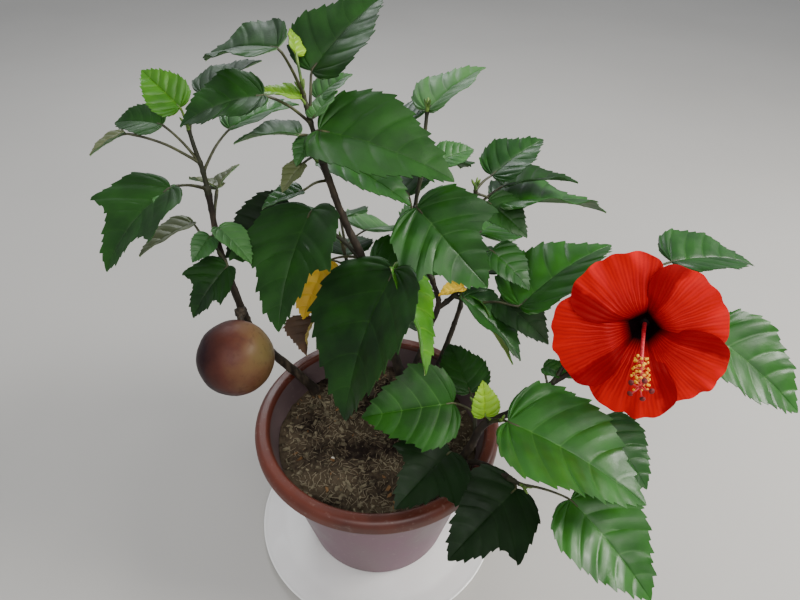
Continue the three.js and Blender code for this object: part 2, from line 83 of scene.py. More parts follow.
# Share of the full swell between veins, by the look of the leaf
QUILTING = {"deep": 0.35, "dark": 0.35, "plain": 0.3, "mid": 0.7, "pale": 0.7, "olive": 0.8,
            "young": 1.4}
# How far the sides of a dying leaf curl up
CURLING = {"dry": 0.5, "withered": 0.16}
# Teeth: (share of the way to the next vein, share of the depth)
TEETH = ((0, 1), (0.07, 0.15), (0.25, 0.3), (0.45, 0.6), (0.52, 0.1), (0.72, 0.45), (0.9, 0.85))
ACROSS = (0, 0.03, 0.12, 0.28, 0.46, 0.64, 0.82, 1)
HALF_OUTLINES = {
    "ovate": [(0, 0), (-0.04, 0.16), (0.04, 0.33), (0.2, 0.4), (0.4, 0.38), (0.58, 0.3), (0.76, 0.18),
              (0.92, 0.06), (1, 0)],
    "lobed": [(0, 0), (-0.05, 0.16), (0.06, 0.36), (0.28, 0.45), (0.5, 0.49), (0.52, 0.29), (0.7, 0.21),
              (0.9, 0.08), (1, 0)],
    "broad": [(0, 0), (-0.05, 0.17), (0.05, 0.35), (0.25, 0.44), (0.42, 0.44), (0.5, 0.36), (0.7, 0.25),
              (0.88, 0.1), (1, 0)],
}
VEIN_ENDS = {
    "ovate": (0, 0.14, 0.26, 0.38, 0.5, 0.62, 0.74, 0.86, 1),
    "lobed": (0, 0.14, 0.27, 0.4, 0.53, 0.66, 0.78, 0.89, 1),
    "broad": (0, 0.14, 0.27, 0.39, 0.51, 0.63, 0.75, 0.87, 1),
}

# Limbs, as in the part's source
LIMBS = {
    "main_stem": {"path": [(32, 8, SOIL_TOP), (24, 11, 180), (8, 16, 245), (-9, 20, 311), (-24, 20, 353),
                           (-36, 22, 395)], "radii": (5, 2.3), "flare": 1.5},
    "left_stem": {"path": [(-62, 56, SOIL_TOP), (-76, 50, 160), (-93, 40, 195), (-106.5, 24, 243)],
                  "radii": (4.4, 3.3), "flare": 1.4},
    "left_bough": {"from": "left_stem", "path": [(-111, 20, 275), (-119, 25, 322), (-122, 34, 364)],
                   "radii": (3.3, 2.1)},
    "middle_bough": {"from": "main_stem", "at": 0.17, "path": [(45, 25, 237), (52, 30, 262), (46, 34, 284)],
                     "radii": (2.9, 2)},
    "rear_right_bough": {"from": "middle_bough", "at": 0.75,
                         "path": [(66, 34, 268), (76, 44, 284), (78, 50, 302)], "radii": (2.2, 1.8)},
    "right_bough": {"path": [(66, -44, SOIL_TOP), (77, -47, 168), (87, -50, 203), (108, -45, 210),
                             (135, -38, 232), (150, -38, 246)], "radii": (3.9, 2.1), "flare": 1.4},
    "front_bough": {"from": "right_bough", "at": 0.1,
                    "path": [(84, -60, 164), (95, -70, 168.5), (104, -80, 171)], "radii": (2.5, 2)},
    "rear_bough": {"path": [(-8, 50, SOIL_TOP), (-12, 66, 190), (-20, 80, 245)], "radii": (4, 2.4),
                   "flare": 1.4},
    "rear_side_bough": {"path": [(48, 48, SOIL_TOP), (66, 66, 175), (80, 82, 215)], "radii": (3.6, 2.2),
                        "flare": 1.4},
}


def leaf(at, stalk, blade, tone="dark", shape="ovate", bend=25):
    """A leaf at a fraction of its twig: stalk (length, azimuth, rise), blade (length, azimuth, rise, roll),
    look, outline and the degrees that its blade bends over."""
    return {"at": at, "stalk": stalk, "blade": blade, "tone": tone, "shape": shape, "bend": bend}


# Leaves with the look "deep" are darkened as painted shade, for leaves that lie in the shade of others.
# Twigs with their leaves, as in the part's source. Leaves under "small" are only here.
TWIGS = {
    "left_crown": {
        "from": "left_bough", "path": [(-124, 38, 381), (-128, 42, 399), (-130, 45, 409)],
        "leaves": [
            leaf(1, (22, -90, 65), (37, 145, 30, -35), "fresh", bend=20),
            leaf(0.5, (35, 170, 50), (38, 165, -5, -20), bend=35),
            leaf(1, (27, 47, 55), (50, 36, 15, -10), bend=15),
            leaf(0.35, (42, 65, 25), (60, 35, 5, -5), "mid"),
            leaf(0.1, (28, -140, 20), (74, -135, -35, 0), "dark", "lobed", 45),
        ],
        "small": [
            leaf(0.08, (27, -150, 20), (20, -110, -10, 10), "pale", bend=10),
            leaf(0.5, (52, -171, 29), (27, -147, -20, 15), "olive", bend=20),
        ],
    },
    "left_side": {
        "from": "left_bough", "at": 0.7, "path": [(-127, 19, 330)],
        "leaves": [
            leaf(0.9, (18, 140, 45), (45, -145, -15, 15), "olive", bend=20),
            leaf(0.6, (30, -51, 50), (35, -35, -35, -15), "pale"),
            leaf(0.5, (22, -48, -31), (47, -137, -40, -5), "dark", "lobed", 30),
        ],
        "small": [
            leaf(0.8, (16, -60, 50), (23, -125, -30, -30), "pale", bend=20),
            leaf(0.3, (41, 79, 59), (28, 149, 0, 25), "olive", bend=20),
            leaf(0.3, (40, 81, 58), (28, 56, 19, -30), "olive", bend=20),
        ],
    },
    "top_crown": {
        "from": "main_stem", "path": [(-40, 24, 412), (-43, 25, 425), (-46, 27, 441)],
        "leaves": [
            leaf(0.65, (31, 75, 70), (71, 40, 30, 10)),
            leaf(1, (40, -125, 60), (58, 155, -15, -10), bend=35),
            leaf(0.85, (8, -135, 55), (28, -175, 10, 0), "young", bend=15),
            leaf(0.75, (14, 60, 25), (30, 35, 20, 0), "pale"),
            leaf(0.6, (40, -148, 39), (56, -167, -16, -15), bend=40),
            leaf(0.35, (20, -125, 30), (45, 175, -10, 10), bend=35),
            leaf(0.42, (14, -70, 35), (96, -15, -15, 15), "dark", bend=30),
            leaf(0.2, (16, -109, 53), (23, -121, -32, 5), "pale", bend=20),
        ],
        "small": [
            leaf(0.65, (10, -65, 30), (26, 50, 25, -15), "pale", bend=10),
            leaf(0.1, (26, -114, 13), (23, -135, -36, 5), "olive", bend=20),
            leaf(1, (25, 116, 71), (19, 106, 38, 45), "young", bend=10),
        ],
    },
    "top_side": {
        "from": "main_stem", "at": 0.91, "path": [(-38, 34, 386)],
        "leaves": [leaf(1, (22, 82, -6), (73, -27, -20, 0), "mid", bend=20)],
        "small": [leaf(0.5, (26, -130, 5), (30, -160, -15, 5), "mid")],
    },
    "left_middle": {
        "from": "main_stem", "at": 0.67, "path": [(-24, 27, 326), (-38, 31, 336)],
        "leaves": [
            leaf(1, (26, -127, 59), (93, -109, -40, 20), "dark", "lobed", 35),
            leaf(0.9, (32, 171, 27), (61, -155, -25, -20), "deep", bend=35),
            leaf(0.2, (34, 151, -27), (50, -119, -40, 0), "withered"),
        ],
        "small": [leaf(0, (60, -160, -43), (32, -110, -51, 25), "dry", bend=60)],
        "rule": {"count": 3, "azimuth": 90, "spread": 50, "seed": 1},
    },
    "front_middle": {
        "from": "main_stem", "at": 0.48, "path": [(12, 8, 278), (13, 4, 296)],
        "leaves": [leaf(1, (32, -87, 66), (118, -120, -50, 25), "dark", "broad", 35)],
        "small": [leaf(0.8, (30, -104, 82), (86, -59, -55, -45), "fresh", bend=30)],
    },
    "middle_crown": {
        "from": "middle_bough", "path": [(32, 40, 309), (31, 46, 347), (34, 50, 368), (38, 60, 416)],
        "leaves": [
            leaf(1, (8, 85, -15), (60, 35, 20, -10), "pale"),
            leaf(0.48, (14, -88, 27), (82, -37, -35, 45), "mid", "lobed", 40),
            leaf(0.82, (18, 10, -45), (31, 25, 5, 20), "pale"),
        ],
        "rule": {"count": 10, "azimuth": 90, "spread": 70, "seed": 7},
    },
    "rear_right_crown": {
        "from": "rear_right_bough", "path": [(80, 56, 330), (79, 60, 352)],
        "leaves": [
            leaf(1, (20, 40, 20), (54, 30, 20, 5), "mid"),
            leaf(0.95, (22, -10, -25), (99, 10, -10, -15), "mid", bend=30),
            leaf(0.4, (26, -20, 70), (42, -40, -25, 15)),
            leaf(0.1, (18, -20, -10), (44, -40, -30, 10), "mid"),
        ],
        "small": [leaf(0.7, (30, 30, 25), (63, 5, 0, -15), bend=30)],
        "rule": {"count": 4, "azimuth": 60, "spread": 60, "seed": 10},
    },
    "right_middle": {
        "from": "rear_right_bough", "at": 0.3, "path": [(80, 26, 264)],
        "leaves": [
            leaf(1, (26, 20, -5), (56, -45, -20, 5)),
            leaf(0.5, (14, -105, 45), (71, -35, -35, -20), "mid"),
            leaf(1, (40, -23, 14), (101, 30, 15, -15), "mid", bend=30),
        ],
        "small": [
            leaf(0.5, (22, 95, -21), (79, -44, -35, -45), "fresh", bend=20),
            leaf(0.5, (16, -105, 75), (22, -168, -11, 0), "withered", bend=20),
        ],
    },
    "right_low": {
        "from": "right_bough", "at": 0.35, "path": [(79, -36, 206)],
        "leaves": [
            leaf(1, (26, 90, -20), (54, 105, 10, 0)),
            leaf(0.8, (28, -164, 43), (74, -174, -5, -35), "plain", "broad", 35),
        ],
    },
    "right_front": {
        "from": "right_bough", "at": 0.5, "path": [(94, -63, 221)],
        "leaves": [
            leaf(0.3, (8, 170, 45), (29, 100, 60, 0), "young", bend=15),
            leaf(1, (12, -65, 40), (114, -30, -15, 0), "mid", bend=30),
        ],
    },
    "right_side": {
        "from": "right_bough", "at": 0.8, "path": [(144, -42, 226)],
        "leaves": [leaf(1, (38, -34, -20), (60, -50, -32, 0), "mid", bend=30)],
        "small": [leaf(0.5, (21, 100, 40), (25, -30, 0, 0), "mid", bend=15)],
    },
    "bloom_leaves": {
        "from": "right_bough", "at": 0.9, "path": [(162, -18, 272), (186, -6, 306)],
        "leaves": [
            leaf(1, (40, 7, 29), (76, 11, -10, -5), "mid", bend=30),
            leaf(1, (75, -27, -17), (85, -33, -30, 15), "mid"),
        ],
    },
    "front_low": {
        "from": "right_bough", "at": 0.13, "path": [(64, -56, 164)],
        "leaves": [leaf(1, (20, -135, 65), (66, -136, -9, -15), "deep", "lobed", 35)],
    },
    "front_crown": {
        "from": "front_bough", "path": [(111, -88, 174)],
        "leaves": [
            leaf(0.5, (10, -2, -75), (79, -144, -26, -15), "deep", "lobed", 35),
            leaf(1, (40, -30, 10), (88, -50, -25, 10), "mid", bend=35),
        ],
    },
    "rear_crown": {
        "from": "rear_bough", "path": [(-26, 86, 265), (-30, 88, 285)], "leaves": [],
        "rule": {"count": 14, "azimuth": 100, "spread": 110, "seed": 2},
    },
    "rear_low": {
        "from": "rear_bough", "at": 0.55, "path": [(-30, 76, 212)], "leaves": [],
        "rule": {"count": 10, "azimuth": 90, "spread": 60, "seed": 18},
    },
    "rear_side_crown": {
        "from": "rear_side_bough", "path": [(80, 88, 240), (78, 92, 265)], "leaves": [],
        "rule": {"count": 14, "azimuth": 60, "spread": 110, "seed": 12},
    },
}
TWIG_RADIUS = 1.9
STALK_RADIUS = 1.25
STALK_ARCH = 0.08       # how far a stalk arches up, in stalk lengths
STALK_OVERLAP = 0.08    # how far it runs on under the midrib, in blade lengths

# The rule for the other leaves of a twig, as in the part's source
RULE_STALK = (22, 36)
RULE_STALK_RISE = (0, 30)
RULE_BLADE = (58, 84)
RULE_BLADE_RISE = (-40, -10)
RULE_TURN = 20
RULE_CLEAR = 9
RULE_REACH = 125
RULE_TONES = ("dark", "dark", "mid", "mid", "pale")
WOOD_STEP = 6        # from place to place along the wood, where leaves keep clear of it

# Fruit and bloom, as in the part's source
FRUIT_RADIUS = 30
FRUIT_CENTRE = Vector((-110, -20, 250))
FRUIT_SEAT = Vector((-109.5, 16.6, 266))
BLOOM_THROAT = Vector((188, -52, 300))
BLOOM_FACING = (-118, 18)
BLOOM_STALK_BEND = Vector((177, -29, 270))
BLOOM_STALK_RADIUS = 1.6
CALYX_FOOT = 0.72
CALYX_SWELL = 17
THROAT_DEPTH = 22
THROAT_SHARE = 0.35
# Petals: (degrees round the throat from its right, length, half width)
PETALS = ((134, 56, 34), (49, 53, 34), (-25, 57, 32), (-85, 65, 32), (-152, 62, 35))
PETAL_PEAK = 0.62    # where along its length a petal is widest
PETAL_LAP = 3
# Column of stamens: (ahead, up, aside) from the throat
COLUMN = ((-22, 0, 0), (10, -3, 2), (30, -15, 6), (38, -19, 7.5), (46, -20, 8))
GOLDEN_ANGLE = 137.5


# Directions, curves and frames

def heading(azimuth, rise):
    """Direction of an azimuth and a rise."""
    a, e = math.radians(azimuth), math.radians(rise)
    return Vector((math.cos(a) * math.cos(e), math.sin(a) * math.cos(e), math.sin(e)))


def mix(a, b, share):
    """What lies between two values at a share of the way."""
    return a + (b - a) * share


class Curve:
    """Centripetal curve through points, read at fractions of its length."""

    DIVISIONS = 200
    STEP = 0.005

    def __init__(self, points):
        self.points = [Vector(p) for p in points]
        places = [self.place(i / self.DIVISIONS) for i in range(self.DIVISIONS + 1)]
        self.lengths = [0.0]
        for a, b in zip(places, places[1:]):
            self.lengths.append(self.lengths[-1] + (b - a).length)
        self.length = self.lengths[-1]

    def place(self, t):
        """Point at a share of the spans, counted from point to point."""
        points = self.points
        last = len(points) - 1
        i = min(int(t * last), last - 1)
        w = t * last - i
        p1, p2 = points[i], points[i + 1]
        p0 = points[i - 1] if i > 0 else 2 * p1 - p2
        p3 = points[i + 2] if i + 2 <= last else 2 * p2 - p1
        d0, d1, d2 = ((b - a).length ** 0.5 for a, b in ((p0, p1), (p1, p2), (p2, p3)))
        t1 = ((p1 - p0) / d0 - (p2 - p0) / (d0 + d1) + (p2 - p1) / d1) * d1
        t2 = ((p2 - p1) / d1 - (p3 - p1) / (d1 + d2) + (p3 - p2) / d2) * d1
        return (p1 + t1 * w + (3 * (p2 - p1) - 2 * t1 - t2) * w ** 2
                + (2 * (p1 - p2) + t1 + t2) * w ** 3)

    def at(self, along):
        """Point at a fraction of the length."""
        target = along * self.length
        i = min(max(bisect.bisect_right(self.lengths, target) - 1, 0), self.DIVISIONS - 1)
        part = (target - self.lengths[i]) / (self.lengths[i + 1] - self.lengths[i])
        return self.place((i + part) / self.DIVISIONS)

    def tangent(self, along):
        ahead, behind = min(1, along + self.STEP), max(0, along - self.STEP)
        return (self.at(ahead) - self.at(behind)).normalized()


def wood_curve(wood):
    """Middle of a limb or twig, from the soil or from the middle of the limb that carries it."""
    points = [Vector(p) for p in wood["path"]]
    if "from" in wood:
        points.insert(0, wood_curve(LIMBS[wood["from"]]).at(wood.get("at", 1)))
    return Curve(points)


class BladeFrame:
    """Places on the midrib of a blade, and its across and outward directions."""

    def __init__(self, base, blade, bend):
        length, azimuth, rise, roll = blade
        self.base = base
        self.length = length
        self.forward = heading(azimuth, rise)
        level = heading(azimuth + 90, 0)
        turn = Matrix.Rotation(math.radians(roll), 3, self.forward)
        self.across = turn @ level
        self.out = turn @ self.forward.cross(level)
        self.arc = math.radians(bend)
        self.radius = length / self.arc

    def at(self, along):
        turn = along * self.arc - self.arc / 2
        x = self.radius * (math.sin(turn) + math.sin(self.arc / 2))
        z = self.radius * (math.cos(turn) - math.cos(self.arc / 2))
        return self.base + self.forward * x + self.out * z


def stalk_base(curve, one):
    """Where the stalk of a leaf on a twig's curve meets its blade."""
    reach, azimuth, rise = one["stalk"]
    return curve.at(one["at"]) + heading(azimuth, rise) * reach


# Growth: the same leaves as in the part's source

def random_from(seed):
    """The same numbers from the same seed, each from 0 to 1."""
    state = seed * 7919 + 1

    def draw():
        nonlocal state
        state = (state * 16807) % 2147483647
        return state / 2147483647
    return draw


def blade_points(base, blade, shape, bend):
    """Points over a blade, to test what it comes near."""
    body = BladeFrame(base, blade, bend)
    fold = math.radians(BLADE_FOLD)
    points = []
    for along, out in HALF_OUTLINES[shape]:
        for side in (-1, -0.5, 0, 0.5, 1):
            reach = out * body.length
            points.append(body.at(along) + body.across * (side * reach * math.cos(fold))
                          + body.out * (abs(side) * reach * math.sin(fold)))
    return points


def grow_leaves():
    """Every leaf of every twig: those listed first, then those of the rule that touch nothing."""
    taken = []
    curves = {name: wood_curve(twig) for name, twig in TWIGS.items()}
    for curve in [wood_curve(limb) for limb in LIMBS.values()] + list(curves.values()):
        steps = math.ceil(curve.length / WOOD_STEP)
        taken += [curve.at(i / steps) for i in range(steps + 1)]
    grown = {}
    for name, twig in TWIGS.items():
        grown[name] = list(twig["leaves"])
        for one in twig["leaves"]:
            taken += blade_points(stalk_base(curves[name], one), one["blade"], one["shape"], one["bend"])
    tones = random.Random(5)
    for name, twig in TWIGS.items():
        if "rule" not in twig:
            continue
        rule = twig["rule"]
        draw = random_from(rule["seed"])

        def between(span):
            return mix(*span, draw())
        for i in range(rule["count"]):
            at = (i + 1) / (rule["count"] + 0.5)
            turn = rule["azimuth"] + between((-rule["spread"], rule["spread"]))
            stalk = (between(RULE_STALK), turn, between(RULE_STALK_RISE))
            blade = (between(RULE_BLADE), turn + between((-RULE_TURN, RULE_TURN)),
                     between(RULE_BLADE_RISE), between((-RULE_TURN, RULE_TURN)))
            one = leaf(at, stalk, blade, tones.choice(RULE_TONES))
            root = curves[name].at(at)
            points = blade_points(stalk_base(curves[name], one), blade, one["shape"], one["bend"])
            far = any((p - root).length > RULE_REACH for p in points)
            if far or any((p - q).length < RULE_CLEAR for p in points for q in taken):
                continue
            taken += points
            grown[name].append(one)
    for name, twig in TWIGS.items():
        grown[name] += twig.get("small", [])
    return grown, curves


# Meshes

SHARP_ANGLE = 60     # an edge with a sharper turn looks sharp
WELD_GAP = 0.004     # points closer than this become one


class Piece:
    """A joined mesh in the making: points, faces, the look of each face, shades and bake-map places."""

    def __init__(self):
        self.points = []
        self.faces = []
        self.looks = []
        self.shades = {"vein": [], "tone": []}
        self.map = []

    def add(self, points, faces, look, vein=None, tone=0.5, places=None):
        start = len(self.points)
        self.points += points
        self.faces += [tuple(start + i for i in face) for face in faces]
        self.looks += [look] * len(faces) if isinstance(look, str) else look
        self.shades["vein"] += vein or [0.0] * len(points)
        self.shades["tone"] += tone if isinstance(tone, list) else [tone] * len(points)
        self.map += places or [(0.0, 0.0)] * sum(len(face) for face in faces)

    def make(self, name, slot, *nodes, mapped=False, welded=False):
        """The piece as an object that rides with the plant and stands for the nodes."""
        mesh = bpy.data.meshes.new(name)
        mesh.from_pydata([p * MM for p in self.points], [], self.faces)
        used = sorted(set(self.looks))
        for look in used:
            mesh.materials.append(LOOKS[look])
        mesh.polygons.foreach_set("material_index", [used.index(look) for look in self.looks])
        mesh.polygons.foreach_set("use_smooth", [True] * len(self.faces))
        for shade, values in self.shades.items():
            mesh.attributes.new(shade, "FLOAT", "POINT").data.foreach_set("value", values)
        if mapped:
            layer = mesh.uv_layers.new(name="OFBake")
            layer.data.foreach_set("uv", [value for place in self.map for value in place])
        if welded:
            made = bmesh.new()
            made.from_mesh(mesh)
            bmesh.ops.remove_doubles(made, verts=made.verts, dist=WELD_GAP * MM)
            made.to_mesh(mesh)
            made.free()
        mesh.set_sharp_from_angle(angle=math.radians(SHARP_ANGLE))
        piece = bpy.data.objects.new(name, mesh)
        bpy.context.collection.objects.link(piece)
        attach(piece, "root")
        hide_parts(*nodes)


def bell(offset, width):
    """Smooth bump: 1 in its middle, and next to nothing two widths away."""
    return math.exp(-(offset / width) ** 2)


def grid_faces(rows, columns, wrap=False):
    """Faces of a grid of points, row by row, its columns closed into a ring where it wraps."""
    faces = []
    for i in range(rows - 1):
        for j in range(columns if wrap else columns - 1):
            k = (j + 1) % columns
            faces.append((i * columns + j, i * columns + k, (i + 1) * columns + k, (i + 1) * columns + j))
    return faces


def ring_point(radius, height, share):
    """Point round the plant's upright axis, at a share of the full turn."""
    turn = 2 * math.pi * share
    return Vector((radius * math.cos(turn), radius * math.sin(turn), height))


def square_to(ahead, turn):
    """A direction at right angles to another, turned round it."""
    return Matrix.Rotation(turn, 3, ahead) @ ahead.orthogonal().normalized()


def tube(piece, curve, radius_at, look, steps, sides, relief=None, tone=0.5):
    """Round tube along a curve, closed at both ends. Relief moves a point out by its fraction and turn."""
    points = []
    tangent = curve.tangent(0)
    normal = tangent.orthogonal().normalized()
    for i in range(steps + 1):
        along = i / steps
        ahead = curve.tangent(along)
        normal = tangent.rotation_difference(ahead) @ normal
        tangent = ahead
        side = tangent.cross(normal)
        centre = curve.at(along)
        for j in range(sides):
            turn = 2 * math.pi * j / sides
            direction = normal * math.cos(turn) + side * math.sin(turn)
            radius = radius_at(along)
            if relief:
                radius += relief(centre + direction * radius, along, turn)
            points.append(centre + direction * radius)
    faces = grid_faces(steps + 1, sides, wrap=True)
    faces.append(tuple(reversed(range(sides))))
    faces.append(tuple(range(steps * sides, (steps + 1) * sides)))
    places = []
    for i in range(steps):
        for j in range(sides):
            u, v = j / sides, i / steps
            places += [(u, v), (u + 1 / sides, v), (u + 1 / sides, v + 1 / steps), (u, v + 1 / steps)]
    places += [(0.0, 0.0)] * (2 * sides)
    piece.add(points, faces, look, tone=tone, places=places)


def ball(piece, centre, radius, look, axis=Vector((0, 0, 1)), stretch=1.0, rings=6, sides=8,
         relief=None, vein_at=None, tone_at=None):
    """Ball, stretched along an axis. Relief moves a point out by its direction."""
    turn = Vector((0, 0, 1)).rotation_difference(axis.normalized())
    points, veins, tones = [], [], []
    for i in range(rings + 1):
        polar = math.pi * i / rings
        for j in range(sides):
            way = ring_point(math.sin(polar), math.cos(polar), j / sides)
            reach = radius + (relief(way) if relief else 0)
            points.append(centre + turn @ (Vector((way.x, way.y, way.z * stretch)) * reach))
            veins.append(vein_at(way) if vein_at else 0.0)
            tones.append(tone_at(turn @ way) if tone_at else 0.5)
    faces = [tuple(reversed(face)) for face in grid_faces(rings + 1, sides, wrap=True)]
    piece.add(points, faces, look, vein=veins, tone=tones)


def sheet(piece, upper, lower, across, looks, cells, veins, tones, ends=False):
    """Thin sheet between two grids of points, with a rim at its sides and, where asked, at its ends.

    Across holds the place of each column from 0 to 1. Looks and cells are those of the upper and the
    lower face, and the rim has the upper face's.
    """
    columns = len(across)
    count = len(upper)
    rows = count // columns
    top = grid_faces(rows, columns)
    bottom = [tuple(reversed([i + count for i in face])) for face in top]
    edges = []
    for i in range(rows - 1):
        edges.append((i * columns, (i + 1) * columns))
        edges.append(((i + 2) * columns - 1, (i + 1) * columns - 1))
    if ends:
        last = count - columns
        edges += [(last + j, last + j + 1) for j in range(columns - 1)]
        edges += [(j + 1, j) for j in range(columns - 1)]
    rim = [(a, b, b + count, a + count) for a, b in edges]
    places, face_looks = [], []
    for faces, look, (x, y, size) in zip((top, bottom, rim), (*looks, looks[0]), (*cells, cells[0])):
        face_looks += [look] * len(faces)
        for index in (i for face in faces for i in face):
            row, column = divmod(index % count, columns)
            places.append((x + size * across[column], y + size * row / (rows - 1)))
    piece.add(upper + lower, top + bottom + rim, face_looks, vein=veins * 2, tone=tones * 2, places=places)


CELL_INSET = 0.04    # clear border of a square in the bake map


def bake_cells(count):
    """Squares of the bake map as (x, y, size), one for each face of each leaf."""
    side = math.ceil(math.sqrt(count))
    inset = CELL_INSET / side
    return [(i % side / side + inset, i // side / side + inset, 1 / side - 2 * inset)
            for i in range(count)]


# Leaves

COLUMNS = [-a for a in reversed(ACROSS[1:])] + list(ACROSS)
SPARE_BASE = 0.12    # share of the margin without teeth at the base, and then with growing ones
SPARE_TIP = 0.08     # share of it at the tip over which they shrink
TOOTH_LEAN = 0.6     # how far a tooth points ahead, in tooth depths


def margin_rows(shape):
    """(rib, along, out, part) of every row of a half blade, with teeth cut into its margin. The part is
    the share of the way from one side vein to the next."""
    curve = Curve([(along, out, 0) for along, out in HALF_OUTLINES[shape]])
    ends = VEIN_ENDS[shape]
    rows = []
    for a, b in zip(ends, ends[1:]):
        for part, depth in TEETH:
            u = mix(a, b, part)
            along, out, _ = curve.at(u)
            rib = max(0, along - VEIN_SLANT * out)
            ahead = curve.tangent(u)
            grown = min(1, max(0, (u - SPARE_BASE) / SPARE_BASE)) * min(1, (1 - u) / SPARE_TIP)
            tooth = TOOTH * depth * grown
            lean = ahead.x * tooth * TOOTH_LEAN
            rows.append((rib, along - ahead.y * tooth + lean, out + ahead.x * tooth, part))
    rows.append((1, 1, 0, 0))
    return rows


MARGINS = {shape: margin_rows(shape) for shape in HALF_OUTLINES}
UNDERSIDES = {"fresh": "fresh", "young": "fresh", "withered": "withered", "dry": "withered",
              "pale": "pale"}


def add_blade(piece, base, one, cells, draw):
    """Blade of a leaf: quilted between its veins, folded along its midrib, with a waving margin."""
    length = one["blade"][0]
    body = BladeFrame(base, one["blade"], one["bend"])
    fold = math.radians(BLADE_FOLD)
    phase = [draw.uniform(0, 2 * math.pi) for _ in range(2)]
    pitch = 2 * math.pi * draw.uniform(1.6, 2.6)
    tone = draw.random()
    wave = WAVE * length * draw.uniform(0.6, 1.4)
    quilt = QUILT * length * QUILTING.get(one["tone"], 1)
    curl = CURLING.get(one["tone"], 0) * length
    upper, lower, veins = [], [], []
    for rib, along, out, part in MARGINS[one["shape"]]:
        on_vein = part == 0
        for v in COLUMNS:
            side, reach = (1 if v > 0 else -1), abs(v)
            margin = (body.at(along) + body.across * (side * out * length * math.cos(fold))
                      + body.out * (out * length * math.sin(fold)))
            between = 4 * reach * (1 - reach) * min(1, 4 * out)
            p = body.at(rib).lerp(margin, reach) - body.forward * (VEIN_BOW * length * between)
            lift = quilt * math.sin(math.pi * part) * between
            lift += wave * reach ** 2 * min(1, 5 * out) * math.sin(pitch * along + phase[side > 0])
            lift += curl * (2 * reach * out) ** 2
            lift += BLISTER * (1 - reach ** 4) * noise.noise(p / BLISTER_PITCH)
            ridge = SIDE_RIDGE * on_vein * (1 - reach) + MID_RIDGE * (v == 0)
            upper.append(p + body.out * (lift + BLADE_THICKNESS / 2 - GROOVE * ridge))
            lower.append(p + body.out * (lift - BLADE_THICKNESS / 2 - ridge))
            side_vein = 0.95 - 0.3 * reach if on_vein else 0.0
            veins.append(1.0 if v == 0 else side_vein)
    looks = (f"leaf_{one['tone']}", f"under_{UNDERSIDES.get(one['tone'], 'green')}")
    across = [(v + 1) / 2 for v in COLUMNS]
    sheet(piece, upper, lower, across, looks, cells, veins, [tone] * len(veins))


def add_stalk(piece, root, base, one):
    """Leaf stalk, arched a little, swollen at its foot and below the blade."""
    reach = one["stalk"][0]
    middle = root.lerp(base, 0.5) + Vector((0, 0, STALK_ARCH * reach))
    body = BladeFrame(base, one["blade"], one["bend"])
    curve = Curve([root, middle, base, body.at(STALK_OVERLAP)])

    def radius_at(along):
        swollen = 0.5 * bell(along, 0.06) + 0.25 * bell(along - 0.85, 0.06)
        return STALK_RADIUS * (0.95 - 0.35 * along) * (1 + swollen)
    look = "stalk_young" if one["tone"] in ("young", "fresh") else "stalk"
    tube(piece, curve, radius_at, look, max(8, round(reach / 4)), 8)


def add_bud(piece, tip, ahead, draw):
    """Leaf bud at the end of a twig: a few tiny folded leaves round a point."""
    ball(piece, tip + ahead * 2.5, 1.6, "stalk_young", axis=ahead, stretch=2.6, rings=8)
    for i in range(3):
        way = (ahead + square_to(ahead, 2.1 * i + draw.random()) * 0.5).normalized()
        ball(piece, tip + ahead * 2 + way * 4, 1.1, "stalk_young", axis=way, stretch=4, rings=8, sides=6)


def make_foliage():
    """Two pieces for each twig: its leaves, and the twig itself with their stalks and its bud."""
    grown, curves = grow_leaves()
    for index, name in enumerate(TWIGS):
        draw = random.Random(100 + index)
        curve = curves[name]
        leaves, twigs = Piece(), Piece()
        cells = bake_cells(2 * len(grown[name]))
        joints = sorted({one["at"] for one in grown[name]})

        def radius_at(along):
            swollen = sum(0.45 * bell((along - at) * curve.length, 1.6) for at in joints)
            return TWIG_RADIUS - 0.5 * along + swollen + 0.8 * bell(along * curve.length, 4)
        tube(twigs, curve, radius_at, "twig", max(6, round(curve.length / 1.5)), 12)
        add_bud(twigs, curve.at(1), curve.tangent(1), draw)
        for i, one in enumerate(grown[name]):
            base = stalk_base(curve, one)
            add_stalk(twigs, curve.at(one["at"]), base, one)
            add_blade(leaves, base, one, cells[2 * i:2 * i + 2], draw)
        leaves.make(f"{name}_leaves", "foliage", name, mapped=True, welded=True)
        twigs.make(f"{name}_twigs", "bark", name)


# Limbs

BARK_SIDES = 24
BARK_STEP = 2          # from ring to ring
FLARE_SHARE = 0.125    # share of a limb that flares at its foot
SCAR_SPACING = 17      # from one leaf scar to the next
SCAR_HEIGHT = 0.55
SCAR_LENGTH = 1.5
RING_HEIGHT = 0.16
RING_LENGTH = 0.9


def make_limb(name, limb, seed):
    """Limb with ridged bark, swollen rings and leaf scars."""
    curve = wood_curve(limb)
    foot, tip = limb["radii"]
    flare = limb.get("flare", 1)
    scars = int(curve.length / SCAR_SPACING)

    def radius_at(along):
        swell = 1 + (flare - 1) * max(0, 1 - along / FLARE_SHARE) ** 2
        collar = 0.5 * bell((1 - along) * curve.length, 3)
        return mix(foot, tip, along) * swell + collar

    def relief(place, along, turn):
        grain = noise.noise(Vector((place.x * 0.5, place.y * 0.5, place.z * 0.11 + seed)))
        lumps = noise.noise(place * 0.09 + Vector((seed, 0, 0)))
        height = 0.32 * grain + 0.45 * lumps
        for i in range(scars):
            away = along * curve.length - (i + 0.6) * SCAR_SPACING
            facing = math.cos(turn - i * math.radians(GOLDEN_ANGLE))
            height += SCAR_HEIGHT * bell(away, SCAR_LENGTH) * max(0, facing) ** 3
            height += RING_HEIGHT * bell(away, RING_LENGTH)
        return height
    piece = Piece()
    steps = max(12, round(curve.length / BARK_STEP))
    tube(piece, curve, radius_at, "bark", steps, BARK_SIDES, relief)
    piece.make(f"{name}_bark", "bark", name, mapped=True)


# Pot, soil and saucer

